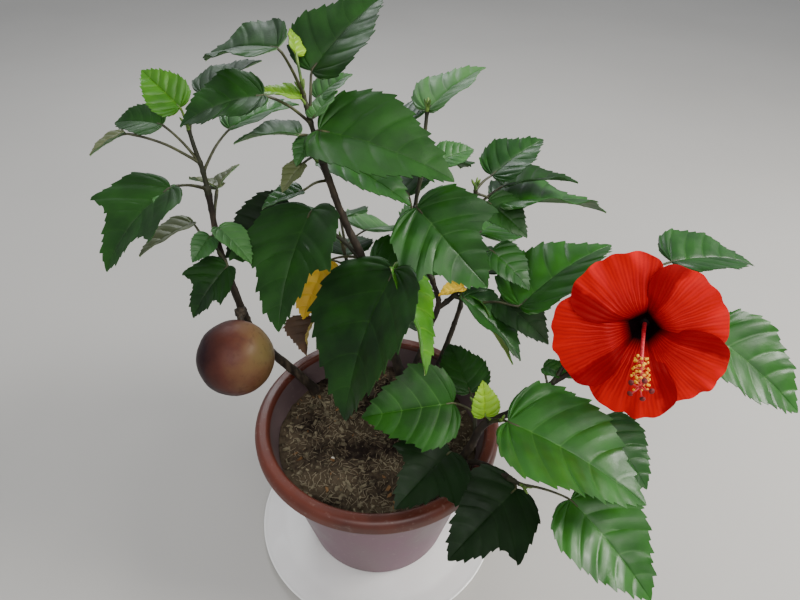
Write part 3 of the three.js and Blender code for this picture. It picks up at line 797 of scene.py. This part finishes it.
CORE = 0.5             # where a turned section starts and ends, from the axis
POT_ROUNDING = 3
SAUCER_ROUNDING = 4
ROUNDING_STEPS = 4


def smooth_section(corners, rounding):
    """Section with its corners rounded, as (radius, height) points."""
    corners = [Vector(corner) for corner in corners]
    points = [corners[0]]
    for before, corner, after in zip(corners, corners[1:], corners[2:]):
        into, away = before - corner, after - corner
        cut = min(rounding, into.length * 0.45, away.length * 0.45)
        start, end = corner + into.normalized() * cut, corner + away.normalized() * cut
        for i in range(ROUNDING_STEPS + 1):
            t = i / ROUNDING_STEPS
            points.append(start * (1 - t) ** 2 + corner * 2 * t * (1 - t) + end * t ** 2)
    points.append(corners[-1])
    return points


def lathe(piece, section, look_at):
    """Turned piece from its section. The look of a face follows from its middle (radius, height)."""
    points = [ring_point(radius, height, j / LATHE_SIDES)
              for radius, height in section for j in range(LATHE_SIDES)]
    looks = []
    for a, b in zip(section, section[1:]):
        looks += [look_at(*(a + b) / 2)] * LATHE_SIDES
    piece.add(points, grid_faces(len(section), LATHE_SIDES, wrap=True), looks)


def pot_bore(height):
    """Inner radius of the pot at a height."""
    share = (height - SAUCER_FLOOR) / (POT_TOP - SAUCER_FLOOR)
    return mix(POT_BASE_RADIUS - POT_WALL - 1, POT_RIM_RADIUS - RIM_LIP, share)


def make_pot():
    foot = SAUCER_FLOOR + POT_GAP
    floor = foot + POT_WALL
    band_foot = POT_TOP - RIM_BAND
    rim, bore = POT_RIM_RADIUS, POT_RIM_RADIUS - RIM_LIP
    corners = [(CORE, foot), (POT_BASE_RADIUS - 3, foot), (POT_BASE_RADIUS, foot + 3),
               (pot_bore(band_foot) + POT_WALL + 1, band_foot - 1), (rim - 3, band_foot),
               (rim, band_foot + 3), (rim, POT_TOP - 4), (rim - 3, POT_TOP), (bore + 2, POT_TOP),
               (bore, POT_TOP - 3), (pot_bore(floor), floor), (CORE, floor)]

    def look_at(radius, height):
        if height > band_foot - 2 and radius > bore - 1:
            return "pot_rim"
        return "pot_body" if radius > pot_bore(height) + POT_WALL / 2 else "pot_inside"
    piece = Piece()
    lathe(piece, smooth_section(corners, POT_ROUNDING), look_at)
    piece.make("pot_shell", "pot", "pot")


def make_saucer():
    rim, edge = SAUCER_RADIUS, SAUCER_RADIUS - 4
    corners = [(CORE, 0), (rim - 24, 0), (rim - 3, SAUCER_HEIGHT - 2.5), (rim, SAUCER_HEIGHT - 1),
               (rim - 1, SAUCER_HEIGHT), (edge, SAUCER_HEIGHT - 1), (edge - 18, SAUCER_FLOOR),
               (CORE, SAUCER_FLOOR)]
    piece = Piece()
    lathe(piece, smooth_section(corners, SAUCER_ROUNDING), lambda radius, height: "glaze")
    piece.make("saucer_plate", "saucer", "saucer")


SOIL_RINGS = 64
SOIL_SIDES = 2 * LATHE_SIDES
SOIL_GAP = 0.6       # between the soil and the pot
SOIL_RADIUS = pot_bore(SOIL_TOP) - 0.7
SOIL_LOW = 3.6       # how far the middle of the soil's lumps lies below the solid's top
CHIPS = 1500
FIBRES = 700
FIBRE_RADIUS = 0.26
PEBBLES = 6


def soil_height(x, y):
    """Height of the soil's surface, lumpy and below the solid's top."""
    height = SOIL_TOP - SOIL_LOW
    for swing, pitch, layer in ((3.4, 0.045, 2), (1.5, 0.2, 7), (0.9, 0.55, 4)):
        height += swing * noise.noise(Vector((x * pitch, y * pitch, layer)))
    return height


def soil_dryness(x, y):
    """How dry the soil is at a place, about 0 to 1."""
    return 0.5 + 0.9 * noise.noise(Vector((x * 0.03, y * 0.03, 11)))


def soil_spot(draw, reach):
    """A place on the soil's surface, and how dry it is there from 0 to 1."""
    place = ring_point(reach * math.sqrt(draw.random()), 0, draw.uniform(0, 1))
    place.z = soil_height(place.x, place.y)
    return place, min(1, max(0, soil_dryness(place.x, place.y)))


def make_soil_bed():
    floor = SAUCER_FLOOR + POT_WALL + SOIL_GAP
    points, dryness = [], []
    for i in range(SOIL_RINGS + 1):
        for j in range(SOIL_SIDES):
            p = ring_point(max(CORE, SOIL_RADIUS * i / SOIL_RINGS), 0, j / SOIL_SIDES)
            p.z = min(SOIL_TOP - 0.3, soil_height(p.x, p.y))
            points.append(p)
            dryness.append(soil_dryness(p.x, p.y))
    for radius in (pot_bore(floor) - SOIL_GAP, CORE):
        points += [ring_point(radius, floor, j / SOIL_SIDES) for j in range(SOIL_SIDES)]
        dryness += [0.0] * SOIL_SIDES
    bed = Piece()
    faces = [tuple(reversed(face)) for face in grid_faces(SOIL_RINGS + 3, SOIL_SIDES, wrap=True)]
    bed.add(points, faces, "soil", tone=dryness)
    bed.make("soil_bed", "soil", "soil")


def make_mulch():
    """Chips, root fibres and a few pebbles, scattered over the soil."""
    draw = random.Random(31)
    mulch = Piece()
    for _ in range(CHIPS):
        place, dry = soil_spot(draw, SOIL_RADIUS - 3)
        add_chip(mulch, place, mix(0.7, 4, draw.random() ** 3), dry, draw)
    for _ in range(FIBRES):
        place, dry = soil_spot(draw, SOIL_RADIUS - 8)
        add_fibre(mulch, place, dry, draw)
    for _ in range(PEBBLES):
        place, _ = soil_spot(draw, SOIL_RADIUS - 8)
        place.z += 0.5
        ball(mulch, place, draw.uniform(1.2, 2), "pebble", stretch=0.7, rings=8, sides=12)
    mulch.make("soil_mulch", "soil", "soil")


def add_chip(piece, place, size, dry, draw):
    """Splinter of bark or clod of soil, lying at a small tilt."""
    half = Vector((size, size * draw.uniform(0.2, 0.6), size * draw.uniform(0.15, 0.4)))
    turn = Matrix.Rotation(draw.uniform(0, 2 * math.pi), 3, "Z")
    for axis in "XY":
        turn = turn @ Matrix.Rotation(draw.uniform(-0.5, 0.5), 3, axis)
    centre = place + Vector((0, 0, 0.4 * half.z))
    points = []
    for z in (-1, 1):
        for x, y in ((-1, -1), (1, -1), (1, 1), (-1, 1)):
            corner = (x * half.x * draw.uniform(0.6, 1), y * half.y * draw.uniform(0.6, 1), z * half.z)
            points.append(centre + turn @ Vector(corner))
    faces = [(3, 2, 1, 0), (4, 5, 6, 7), (0, 1, 5, 4), (1, 2, 6, 5), (2, 3, 7, 6), (3, 0, 4, 7)]
    look = "chip_warm" if draw.random() < 0.05 else "chip"
    piece.add(points, faces, look, tone=min(1.0, max(0.0, dry + draw.uniform(-0.35, 0.35))))


def add_fibre(piece, place, dry, draw):
    """Thin curved root fibre that lies on the soil."""
    way, reach = draw.uniform(0, 2 * math.pi), draw.uniform(1.5, 4.5)
    points = []
    for s in (-1, 0, 1):
        bent = way + 0.12 * s
        x = place.x + s * reach * math.cos(bent)
        y = place.y + s * reach * math.sin(bent)
        points.append((x, y, soil_height(x, y) + draw.uniform(0.2, 1.2)))
    tube(piece, Curve(points), lambda along: FIBRE_RADIUS, "fibre", 4, 5, tone=dry)


# Fruit

# Ripe side of the fruit, which also faces the window lamp: the tan towards it is partly painted light, and
# the dark red away from it partly painted shade.
RIPE_AND_LIT_SIDE = Vector((0.85, -0.3, 0.4)).normalized()


def make_fruit():
    """Round fruit with a matt, blotched skin and a dark knot where its stalk joins."""
    line = (FRUIT_SEAT - FRUIT_CENTRE).normalized()

    def skin(way):
        dent = -1.6 * bell(1 - way.z, 0.03)
        return dent + 0.5 * noise.noise(way * 2.2) - 0.35 + 0.12 * noise.noise(way * 14)

    def knot(way):
        return 1.3 * noise.noise(way * 1.8) + 0.5 * noise.noise(way * 5)
    fruit = Piece()
    ball(fruit, FRUIT_CENTRE, FRUIT_RADIUS, "fruit", axis=line, rings=48, sides=72, relief=skin,
         vein_at=lambda way: math.exp(-(1 - way.z) / 0.05),
         tone_at=lambda way: 0.5 + 0.5 * way.dot(RIPE_AND_LIT_SIDE))
    fruit.make("fruit_body", "fruit", "fruit", welded=True)
    stalk = Piece()
    start = FRUIT_CENTRE + line * (FRUIT_RADIUS - 3)
    curve = Curve([start, start.lerp(FRUIT_SEAT, 0.5), FRUIT_SEAT])
    tube(stalk, curve, lambda along: 3.4 - 1.1 * math.sin(math.pi * min(1, along * 1.4)), "bark", 12, 12)
    ball(stalk, FRUIT_SEAT, 5, "bark", rings=20, sides=24, relief=knot)
    stalk.make("fruit_stalk", "bark", "fruit")


# Bloom

PETAL_ROWS = 40
PETAL_COLUMNS = 73
PETAL_SKIN = 0.5
PETAL_SPREAD = 1.8     # radians that a petal's ribs and lines fan over
PETAL_RIBS = 14
RIB_HEIGHT = 0.45
RUFFLE_START = 0.45    # where along its length a petal starts to ruffle
# Leaflets round the calyx: (how many, turn of the first in steps, (ahead, outward) places, widest
# radius, power of its taper, radius of the tip, steps, sides)
LOBES = (5, 0.5, ((-29, 4.5), (-22, 8.5), (-14, 12.5)), 3, 0.7, 0.2, 10, 8)
BRACTS = (7, 0, ((-30, 3.5), (-27, 8), (-22, 11)), 1, 1, 0.2, 8, 6)
STAMENS = 46
STAMEN_SPAN = (0.6, 0.96)     # where along the column they stand
FILAMENT_LENGTH = (3.5, 6.5)
FILAMENT_RADIUS = 0.22
ANTHER_RADIUS = 1.1
STIGMAS = 5
STIGMA_REACH = 7.2
STIGMA_RADIUS = 2

BLOOM_FORWARD = heading(*BLOOM_FACING)
BLOOM_RIGHT = heading(BLOOM_FACING[0] + 90, 0)
BLOOM_UP = BLOOM_FORWARD.cross(BLOOM_RIGHT)


def bloom_spot(ahead, above=0, aside=0):
    """Place from the bloom's throat."""
    return BLOOM_THROAT + BLOOM_FORWARD * ahead + BLOOM_UP * above + BLOOM_RIGHT * aside


def bloom_outward(turn):
    """Direction out of the bloom's axis, turned from its right."""
    return BLOOM_RIGHT * math.cos(turn) + BLOOM_UP * math.sin(turn)


def petal_half_width(along):
    """Half width of a petal at a fraction of its length: a wedge that ends in half an ellipse."""
    if along > PETAL_PEAK:
        return math.sqrt(max(0.02, 1 - ((along - PETAL_PEAK) / (1 - PETAL_PEAK)) ** 2))
    return 0.12 + 0.88 * math.sin(0.5 * math.pi * along / PETAL_PEAK) ** 1.25


def petal_depth(along, side, aside, ruffle, phase):
    """How far ahead of the throat a petal lies: a funnel that flattens, laps over and ruffles."""
    depth = -THROAT_DEPTH * max(0, 1 - along / THROAT_SHARE) ** 1.6
    depth -= 7 * max(0, along - THROAT_SHARE) ** 2
    depth += PETAL_LAP * aside
    depth += ruffle ** 2 * (1.7 * math.sin(7.5 * aside + phase) + math.sin(15 * aside + 2 * phase))
    depth += 1.6 * side ** 2 * math.sin(9 * along + phase) * min(1, along * 2) * (1 - ruffle ** 3)
    return depth


def add_petal(piece, turn, length, half_width, cells, draw):
    """Petal with ribs that fan out of the throat and a ruffled, scalloped edge."""
    outward = bloom_outward(math.radians(turn))
    across = bloom_outward(math.radians(turn + 90))
    phase = draw.uniform(0, 2 * math.pi)
    places = [j / (PETAL_COLUMNS - 1) for j in range(PETAL_COLUMNS)]
    upper, lower, veins, tones = [], [], [], []
    for i in range(PETAL_ROWS + 1):
        along = math.sin(0.5 * math.pi * i / PETAL_ROWS)
        ruffle = max(0, along - RUFFLE_START) / (1 - RUFFLE_START)
        scallop = 1 + 0.025 * ruffle * math.sin(24 * along + phase)
        for place in places:
            side = 2 * place - 1
            aside = side * petal_half_width(along) * scallop
            nick = 1 + 0.014 * ruffle ** 4 * math.sin(13 * aside + phase)
            reach = 3 + length * along * nick
            turned = math.atan2(aside * half_width, reach) / PETAL_SPREAD
            rib = 0.5 + 0.5 * math.cos(2 * math.pi * PETAL_RIBS * turned + phase)
            depth = petal_depth(along, side, aside, ruffle, phase)
            depth += RIB_HEIGHT * rib * min(1, 4 * along) * (1 - 0.75 * along)
            p = BLOOM_THROAT + outward * reach + across * (aside * half_width)
            upper.append(p + BLOOM_FORWARD * (depth + PETAL_SKIN / 2))
            lower.append(p + BLOOM_FORWARD * (depth - PETAL_SKIN / 2))
            veins.append(0.5 + turned)
            tones.append(along)
    sheet(piece, upper, lower, places, ("petal", "petal_back"), cells, veins, tones, ends=True)


def make_petals(draw):
    petals = Piece()
    cells = bake_cells(2 * len(PETALS))
    for i, shape in enumerate(PETALS):
        add_petal(petals, *shape, cells[2 * i:2 * i + 2], draw)
    petals.make("bloom_petals", "petals", "bloom", mapped=True)


def make_calyx():
    """Stalk of the bloom, widening into the calyx, with its lobes and the bracts below them."""
    green = Piece()

    def stalk_radius(along):
        return BLOOM_STALK_RADIUS + CALYX_SWELL * max(0, along - CALYX_FOOT)
    foot = wood_curve(LIMBS["right_bough"]).at(1)
    stalk = Curve([foot, BLOOM_STALK_BEND, bloom_spot(-33, -3), bloom_spot(-THROAT_DEPTH)])
    tube(green, stalk, stalk_radius, "stalk", 40, 16)
    for count, first, places, radius, power, tip, steps, sides in (LOBES, BRACTS):
        for i in range(count):
            outward = bloom_outward(2 * math.pi * (i + first) / count)
            curve = Curve([bloom_spot(ahead) + outward * out for ahead, out in places])
            tube(green, curve, lambda along: radius * (1 - along) ** power + tip, "calyx", steps, sides)
    green.make("bloom_calyx", "foliage", "bloom")


def make_column(draw):
    """Column out of the throat, with stamens round its far half and stigmas at its end."""
    column = Curve([bloom_spot(*place) for place in COLUMN])
    pillar, anthers = Piece(), Piece()
    tube(pillar, column, lambda along: 1.6 - 0.7 * along, "column", 40, 14)
    ball(pillar, bloom_spot(1 - THROAT_DEPTH), 4.5, "petal", axis=BLOOM_FORWARD, stretch=0.3,
         tone_at=lambda way: 0.0)
    for i in range(STAMENS):
        along = mix(*STAMEN_SPAN, i / STAMENS)
        start, ahead = column.at(along), column.tangent(along)
        aside = square_to(ahead, i * math.radians(GOLDEN_ANGLE))
        way = (aside + ahead * draw.uniform(0.1, 0.6)).normalized()
        tip = start + way * draw.uniform(*FILAMENT_LENGTH)
        curve = Curve([start, start.lerp(tip, 0.5) + ahead * 0.4, tip])
        tube(pillar, curve, lambda along: FILAMENT_RADIUS, "filament", 3, 5)
        ball(anthers, tip, ANTHER_RADIUS, "anther", axis=way, stretch=0.75)
    end, ahead = column.at(1), column.tangent(1)
    for i in range(STIGMAS):
        aside = square_to(ahead, 2 * math.pi * i / STIGMAS)
        tip = end + aside * STIGMA_REACH + ahead * 2.5
        curve = Curve([end - ahead, end + aside * 3 + ahead * 2.2, tip])
        tube(pillar, curve, lambda along: 0.5, "column", 6, 6)
        ball(pillar, tip, STIGMA_RADIUS, "stigma", axis=(aside + ahead).normalized(), stretch=0.75,
             rings=8, sides=10)
    pillar.make("bloom_column", "petals", "bloom")
    anthers.make("bloom_anthers", "petals", "bloom")


def make_bloom():
    draw = random.Random(77)
    make_petals(draw)
    make_calyx()
    make_column(draw)


# Looks

LOOKS = {}


def rgb(code):
    """Linear colour from a web colour code."""
    values = [int(code[i:i + 2], 16) / 255 for i in (0, 2, 4)]
    return tuple(v / 12.92 if v <= 0.04045 else ((v + 0.055) / 1.055) ** 2.4 for v in values) + (1,)


class Look:
    """Node tree of one material, with short calls for its nodes. A colour is a web code or a socket."""

    def __init__(self, name, **sockets):
        made = bpy.data.materials.new(name)
        made.use_nodes = True
        self.tree = made.node_tree
        self.shader = self.tree.nodes["Principled BSDF"]
        for socket, value in sockets.items():
            self.shader.inputs[socket.replace("_", " ")].default_value = value
        LOOKS[name] = made

    def node(self, kind, sockets=(), **settings):
        node = self.tree.nodes.new(f"ShaderNode{kind}")
        for key, value in settings.items():
            setattr(node, key, value)
        for socket, value in dict(sockets).items():
            if isinstance(value, bpy.types.NodeSocket):
                self.tree.links.new(value, node.inputs[socket])
            else:
                node.inputs[socket].default_value = rgb(value) if isinstance(value, str) else value
        return node

    def link(self, output, socket):
        self.tree.links.new(output, self.shader.inputs[socket])

    def place(self):
        return self.node("TexCoord").outputs["Object"]

    def noise(self, scale, detail=4.0, stretch=None):
        place = self.place()
        if stretch:
            place = self.node("Mapping", {"Vector": place, "Scale": stretch}).outputs[0]
        return self.node("TexNoise", {"Vector": place, "Scale": scale, "Detail": detail}).outputs["Fac"]

    def shade(self, name):
        return self.node("Attribute", attribute_name=name).outputs["Fac"]

    def maths(self, operation, *values):
        return self.node("Math", dict(enumerate(values)), operation=operation).outputs[0]

    def span(self, value, low, high, to_low=0.0, to_high=1.0):
        sockets = {"Value": value, "From Min": low, "From Max": high, "To Min": to_low, "To Max": to_high}
        return self.node("MapRange", sockets).outputs[0]

    def cloud(self, scale, low, high, to_low=0.0, to_high=1.0, detail=4.0):
        """Noise, with a part of its span spread over another."""
        return self.span(self.noise(scale, detail), low, high, to_low, to_high)

    def mix(self, share, a, b):
        return self.node("Mix", {0: share, 6: a, 7: b}, data_type="RGBA").outputs[2]

    def bump(self, height, strength, distance):
        sockets = {"Height": height, "Strength": strength, "Distance": distance * MM}
        self.link(self.node("Bump", sockets).outputs[0], "Normal")


def leaf_look(name, deep, light, vein, roughness, vein_share=0.7, gloss=0.4):
    """Leaf colour that differs from leaf to leaf and in blotches, with lighter veins and fine cells."""
    look = Look(name, Specular_IOR_Level=gloss, Subsurface_Weight=0.05,
                Subsurface_Radius=(0.002, 0.004, 0.001))
    blotch = look.cloud(45, 0.35, 0.68)
    share = look.span(look.maths("ADD", blotch, look.shade("tone")), 0.3, 1.8)
    line = look.maths("MULTIPLY", look.maths("POWER", look.shade("vein"), 4.0), vein_share)
    look.link(look.mix(line, look.mix(share, deep, light), vein), "Base Color")
    look.link(look.cloud(110, 0.3, 0.7, roughness - 0.06, roughness + 0.1), "Roughness")
    cells = look.node("TexVoronoi", {"Vector": look.place(), "Scale": 420.0}, feature="DISTANCE_TO_EDGE")
    look.bump(look.span(cells.outputs["Distance"], 0, 0.3), 0.2, 0.08)


def bark_look(name, deep, light, roughness):
    """Bark with streaks along the limb, in patches."""
    look = Look(name, Specular_IOR_Level=0.35)
    streaks = look.span(look.noise(260, stretch=(1, 1, 0.25)), 0.35, 0.68)
    patches = look.cloud(60, 0.4, 0.65)
    look.link(look.mix(look.maths("MULTIPLY", streaks, patches), deep, light), "Base Color")
    look.link(look.span(streaks, 0, 1, roughness - 0.1, roughness + 0.1), "Roughness")
    look.bump(streaks, 0.5, 0.4)


def mottled_look(name, deep, light, roughness, scale, grain, strength, height):
    """Two shades of a colour in a cloud, with a fine grain."""
    look = Look(name, Roughness=roughness)
    look.link(look.mix(look.cloud(scale, 0.35, 0.65), deep, light), "Base Color")
    look.bump(look.noise(grain), strength, height)


def petal_look(name, throat, deep, light, vein, lap_shade):
    """Petal with fine lines that fan out of its dark throat, and painted shade in a deeper red where it
    lies over the next one.
    """
    look = Look(name, Specular_IOR_Level=0.1, Subsurface_Weight=0.15,
                Subsurface_Radius=(0.006, 0.001, 0.001))
    along = look.shade("tone")
    turn = look.shade("vein")
    drift = look.cloud(60, 0.3, 0.7, 0, 2.5)
    fine, coarse = (look.maths("SINE", look.maths("ADD", look.maths("MULTIPLY", turn, lines), drift))
                    for lines in (210.0, 97.0))
    share = look.maths("ADD", along, look.cloud(70, 0.3, 0.7, -0.12, 0.12))
    share = look.maths("ADD", share, look.maths("MULTIPLY", fine, 0.12))
    body = look.mix(look.span(share, 0.25, 0.9), deep, light)
    line = look.maths("POWER", look.span(coarse, -1, 1), 5.0)
    strength = look.maths("MULTIPLY", look.span(along, 0.15, 0.95, 0.55, 0.08),
                          look.cloud(45, 0.35, 0.65, 0.3, 1))
    veined = look.mix(look.maths("MULTIPLY", line, strength), body, vein)
    # Painted shade: the side of a petal that lies over the next one is mixed towards a deeper red.
    edge = look.maths("ADD", turn, look.cloud(110, 0.3, 0.7, -0.025, 0.025))
    lap_shaded = look.mix(look.span(edge, 0.71, 0.76, 0, 0.75), veined, lap_shade)
    look.link(look.mix(look.span(along, 0.1, 0.21), throat, lap_shaded), "Base Color")
    look.link(look.cloud(90, 0.3, 0.7, 0.45, 0.6), "Roughness")
    look.bump(look.noise(700), 0.15, 0.2)


def fruit_look():
    """Skin that turns from dark red to tan towards its ripe side, which faces the window lamp, so the tan
    is partly painted light and the dark red partly painted shade; with spots and a dark seat.
    """
    look = Look("fruit", Specular_IOR_Level=0.2)
    ripeness_and_light = look.maths("ADD", look.shade("tone"), look.cloud(26, 0.3, 0.7, -0.14, 0.14, detail=5))
    base = look.mix(look.span(ripeness_and_light, 0.42, 0.88), "20020a", "623629")
    base = look.mix(look.span(ripeness_and_light, 0.7, 1.07), base, "6a5c36")
    spots = look.cloud(240, 0.55, 0.72, detail=6)
    base = look.mix(look.maths("MULTIPLY", spots, 0.3), base, "3a201a")
    base = look.mix(look.maths("MULTIPLY", look.shade("vein"), 0.8), base, "1f1512")
    look.link(base, "Base Color")
    look.link(look.span(spots, 0, 1, 0.46, 0.62), "Roughness")
    look.bump(look.noise(420, 6), 0.2, 0.4)


def pot_look(name, deep, light, roughness):
    """Plastic with cloudy colour and a little dust."""
    look = Look(name, Specular_IOR_Level=0.5)
    cloud = look.cloud(18, 0.35, 0.7, detail=5)
    dust = look.maths("MULTIPLY", look.cloud(220, 0.6, 0.78, detail=6), 0.2)
    look.link(look.mix(dust, look.mix(cloud, deep, light), "a89a90"), "Base Color")
    look.link(look.span(cloud, 0, 1, roughness - 0.05, roughness + 0.12), "Roughness")
    look.bump(look.noise(300), 0.12, 0.2)


def glaze_look():
    look = Look("glaze", Coat_Weight=0.5, Coat_Roughness=0.05)
    cloud = look.cloud(12, 0.35, 0.7, detail=3)
    look.link(look.mix(cloud, "eeedea", "f7f6f4"), "Base Color")
    look.link(look.span(cloud, 0, 1, 0.14, 0.22), "Roughness")
    look.bump(look.noise(40, 2), 0.08, 0.3)


def soil_look(name, damp, dry, scale):
    """Crumbly soil, lighter where it is dry."""
    look = Look(name, Roughness=0.92, Specular_IOR_Level=0.15)
    grain = look.cloud(scale, 0.3, 0.7, -0.35, 0.35, detail=6)
    share = look.span(look.maths("ADD", grain, look.shade("tone")), 0, 1.1)
    look.link(look.mix(share, damp, dry), "Base Color")
    look.bump(grain, 0.7, 0.8)


def make_looks():
    # leaf_deep is a darker copy of leaf_dark: painted shade for leaves that lie in shade.
    leaf_look("leaf_deep", "071703", "10290a", "26421a", 0.55, 0.3, gloss=0.2)
    leaf_look("leaf_dark", "0d2a08", "1f4c10", "3f6a2a", 0.5, 0.3, gloss=0.26)
    leaf_look("leaf_plain", "0b2a05", "1e520a", "5a8c3c", 0.5, 0.5, gloss=0.24)
    leaf_look("leaf_mid", "153f0e", "2a6218", "5c8f40", 0.38, 0.35)
    leaf_look("leaf_pale", "2f5a2c", "4d7d40", "82a468", 0.42, 0.4, gloss=0.34)
    leaf_look("leaf_fresh", "276008", "4c8814", "8cb448", 0.4)
    leaf_look("leaf_young", "5a8a0e", "98bf1c", "c6dc5c", 0.42)
    leaf_look("leaf_olive", "46502a", "687048", "8a8c62", 0.45, 0.5)
    leaf_look("leaf_withered", "d2a41e", "f2cc34", "f4dc78", 0.55, 0.4)
    leaf_look("leaf_dry", "3c2a1c", "6b4c30", "7c5f42", 0.7, 0.3)
    leaf_look("under_green", "4f6f48", "6c8a60", "9db088", 0.5)
    leaf_look("under_pale", "6c8468", "8ea487", "b4c2a2", 0.5)
    leaf_look("under_fresh", "7d9a4a", "a4b96a", "c6d29a", 0.5)
    leaf_look("under_withered", "a08c44", "c4a850", "ccb46c", 0.6)
    bark_look("bark", "241d16", "54483a", 0.72)
    bark_look("twig", "26281a", "4c4a30", 0.6)
    for name, deep, light in (("stalk", "2c2a1a", "4c4e2c"), ("stalk_young", "3c5c20", "74923c"),
                              ("calyx", "4a6b2e", "7d9a48")):
        mottled_look(name, deep, light, 0.5, 160, 900, 0.2, 0.15)
    for name, deep, light, roughness in (("column", "a00c1c", "dc303c", 0.5),
                                         ("filament", "c94a30", "e88a5c", 0.5),
                                         ("anther", "d88406", "ffc020", 0.75),
                                         ("stigma", "460204", "7a060a", 0.7)):
        mottled_look(name, deep, light, roughness, 500, 1500, 0.3, 0.2)
    # The last colour of each petal look is painted shade, for the side that lies over the next petal.
    petal_look("petal", "0c0003", "a8000a", "de0c0e", "f83c34", "88000a")
    petal_look("petal_back", "4a0a0a", "a80404", "d0140a", "e04030", "880406")
    fruit_look()
    pot_look("pot_body", "5c3e44", "785464", 0.42)
    pot_look("pot_rim", "461a0e", "662a18", 0.42)
    pot_look("pot_inside", "59484a", "6e5b5c", 0.5)
    glaze_look()
    soil_look("soil", "1c1410", "5c5040", 240)
    soil_look("chip", "2c241c", "8a8068", 300)
    soil_look("chip_warm", "5a4028", "8c6a48", 300)
    soil_look("fibre", "5c5040", "9c9078", 200)
    soil_look("pebble", "b8b2a6", "e0dcd2", 300)


# Stage, lights and camera, in metres

FLOOR_REACH = 4
LIGHT_TARGET = Vector((0.03, 0, 0.25))
# Lights: name, (place, size, power, colour)
LIGHTS = {
    "window": ((1.25, -0.1, 1.15), (0.6, 0.6), 30, (1.0, 0.98, 0.94)),
    "wall": ((-0.35, 1.25, 1.25), (0.6, 0.4), 10, (0.94, 0.97, 1.0)),
    "room": ((0.1, -1.2, 1.4), (1.2, 1.0), 16, (1.0, 0.98, 0.95)),
}
SKY = (0.9, 0.94, 1.0, 1)
SKY_STRENGTH = 0.55


def make_lights():
    for name, (place, size, power, colour) in LIGHTS.items():
        light = bpy.data.lights.new(name, "AREA")
        light.shape = "RECTANGLE"
        light.size, light.size_y = size
        light.energy = power
        light.color = colour
        lamp = bpy.data.objects.new(name, light)
        lamp.location = place
        lamp.rotation_euler = (LIGHT_TARGET - Vector(place)).to_track_quat("-Z", "Y").to_euler()
        bpy.context.collection.objects.link(lamp)
    world = bpy.data.worlds.new("studio")
    world.use_nodes = True
    background = world.node_tree.nodes["Background"]
    background.inputs["Color"].default_value = SKY
    background.inputs["Strength"].default_value = SKY_STRENGTH
    bpy.context.scene.world = world


def make_floor():
    mesh = bpy.data.meshes.new("floor")
    r = FLOOR_REACH
    mesh.from_pydata([(-r, -r, 0), (r, -r, 0), (r, r, 0), (-r, r, 0)], [], [(0, 1, 2, 3)])
    floor = bpy.data.objects.new("floor", mesh)
    bpy.context.collection.objects.link(floor)
    look = Look("floor_paint", Roughness=0.8)
    look.link(look.mix(look.noise(3), "b0ada8", "bab7b2"), "Base Color")
    mesh.materials.append(LOOKS["floor_paint"])


def make_camera():
    turn, pitch, roll = (math.radians(a) for a in (CAMERA_TURN, CAMERA_PITCH, CAMERA_ROLL))
    forward = Vector((math.sin(turn) * math.cos(pitch), math.cos(turn) * math.cos(pitch), -math.sin(pitch)))
    level = Vector((math.cos(turn), -math.sin(turn), 0))
    above = level.cross(forward)
    right = level * math.cos(roll) + above * math.sin(roll)
    up = above * math.cos(roll) - level * math.sin(roll)
    data = bpy.data.cameras.new("camera")
    data.lens = CAMERA_LENS
    camera = bpy.data.objects.new("camera", data)
    axes = Matrix((right, up, -forward)).transposed()
    camera.matrix_world = Matrix.Translation(Vector(CAMERA_PLACE) * MM) @ axes.to_4x4()
    bpy.context.collection.objects.link(camera)
    bpy.context.scene.camera = camera


make_looks()
make_floor()
make_lights()
make_camera()
make_pot()
make_saucer()
make_soil_bed()
make_mulch()
for order, (limb_name, one_limb) in enumerate(LIMBS.items()):
    make_limb(limb_name, one_limb, order)
make_foliage()
make_fruit()
make_bloom()
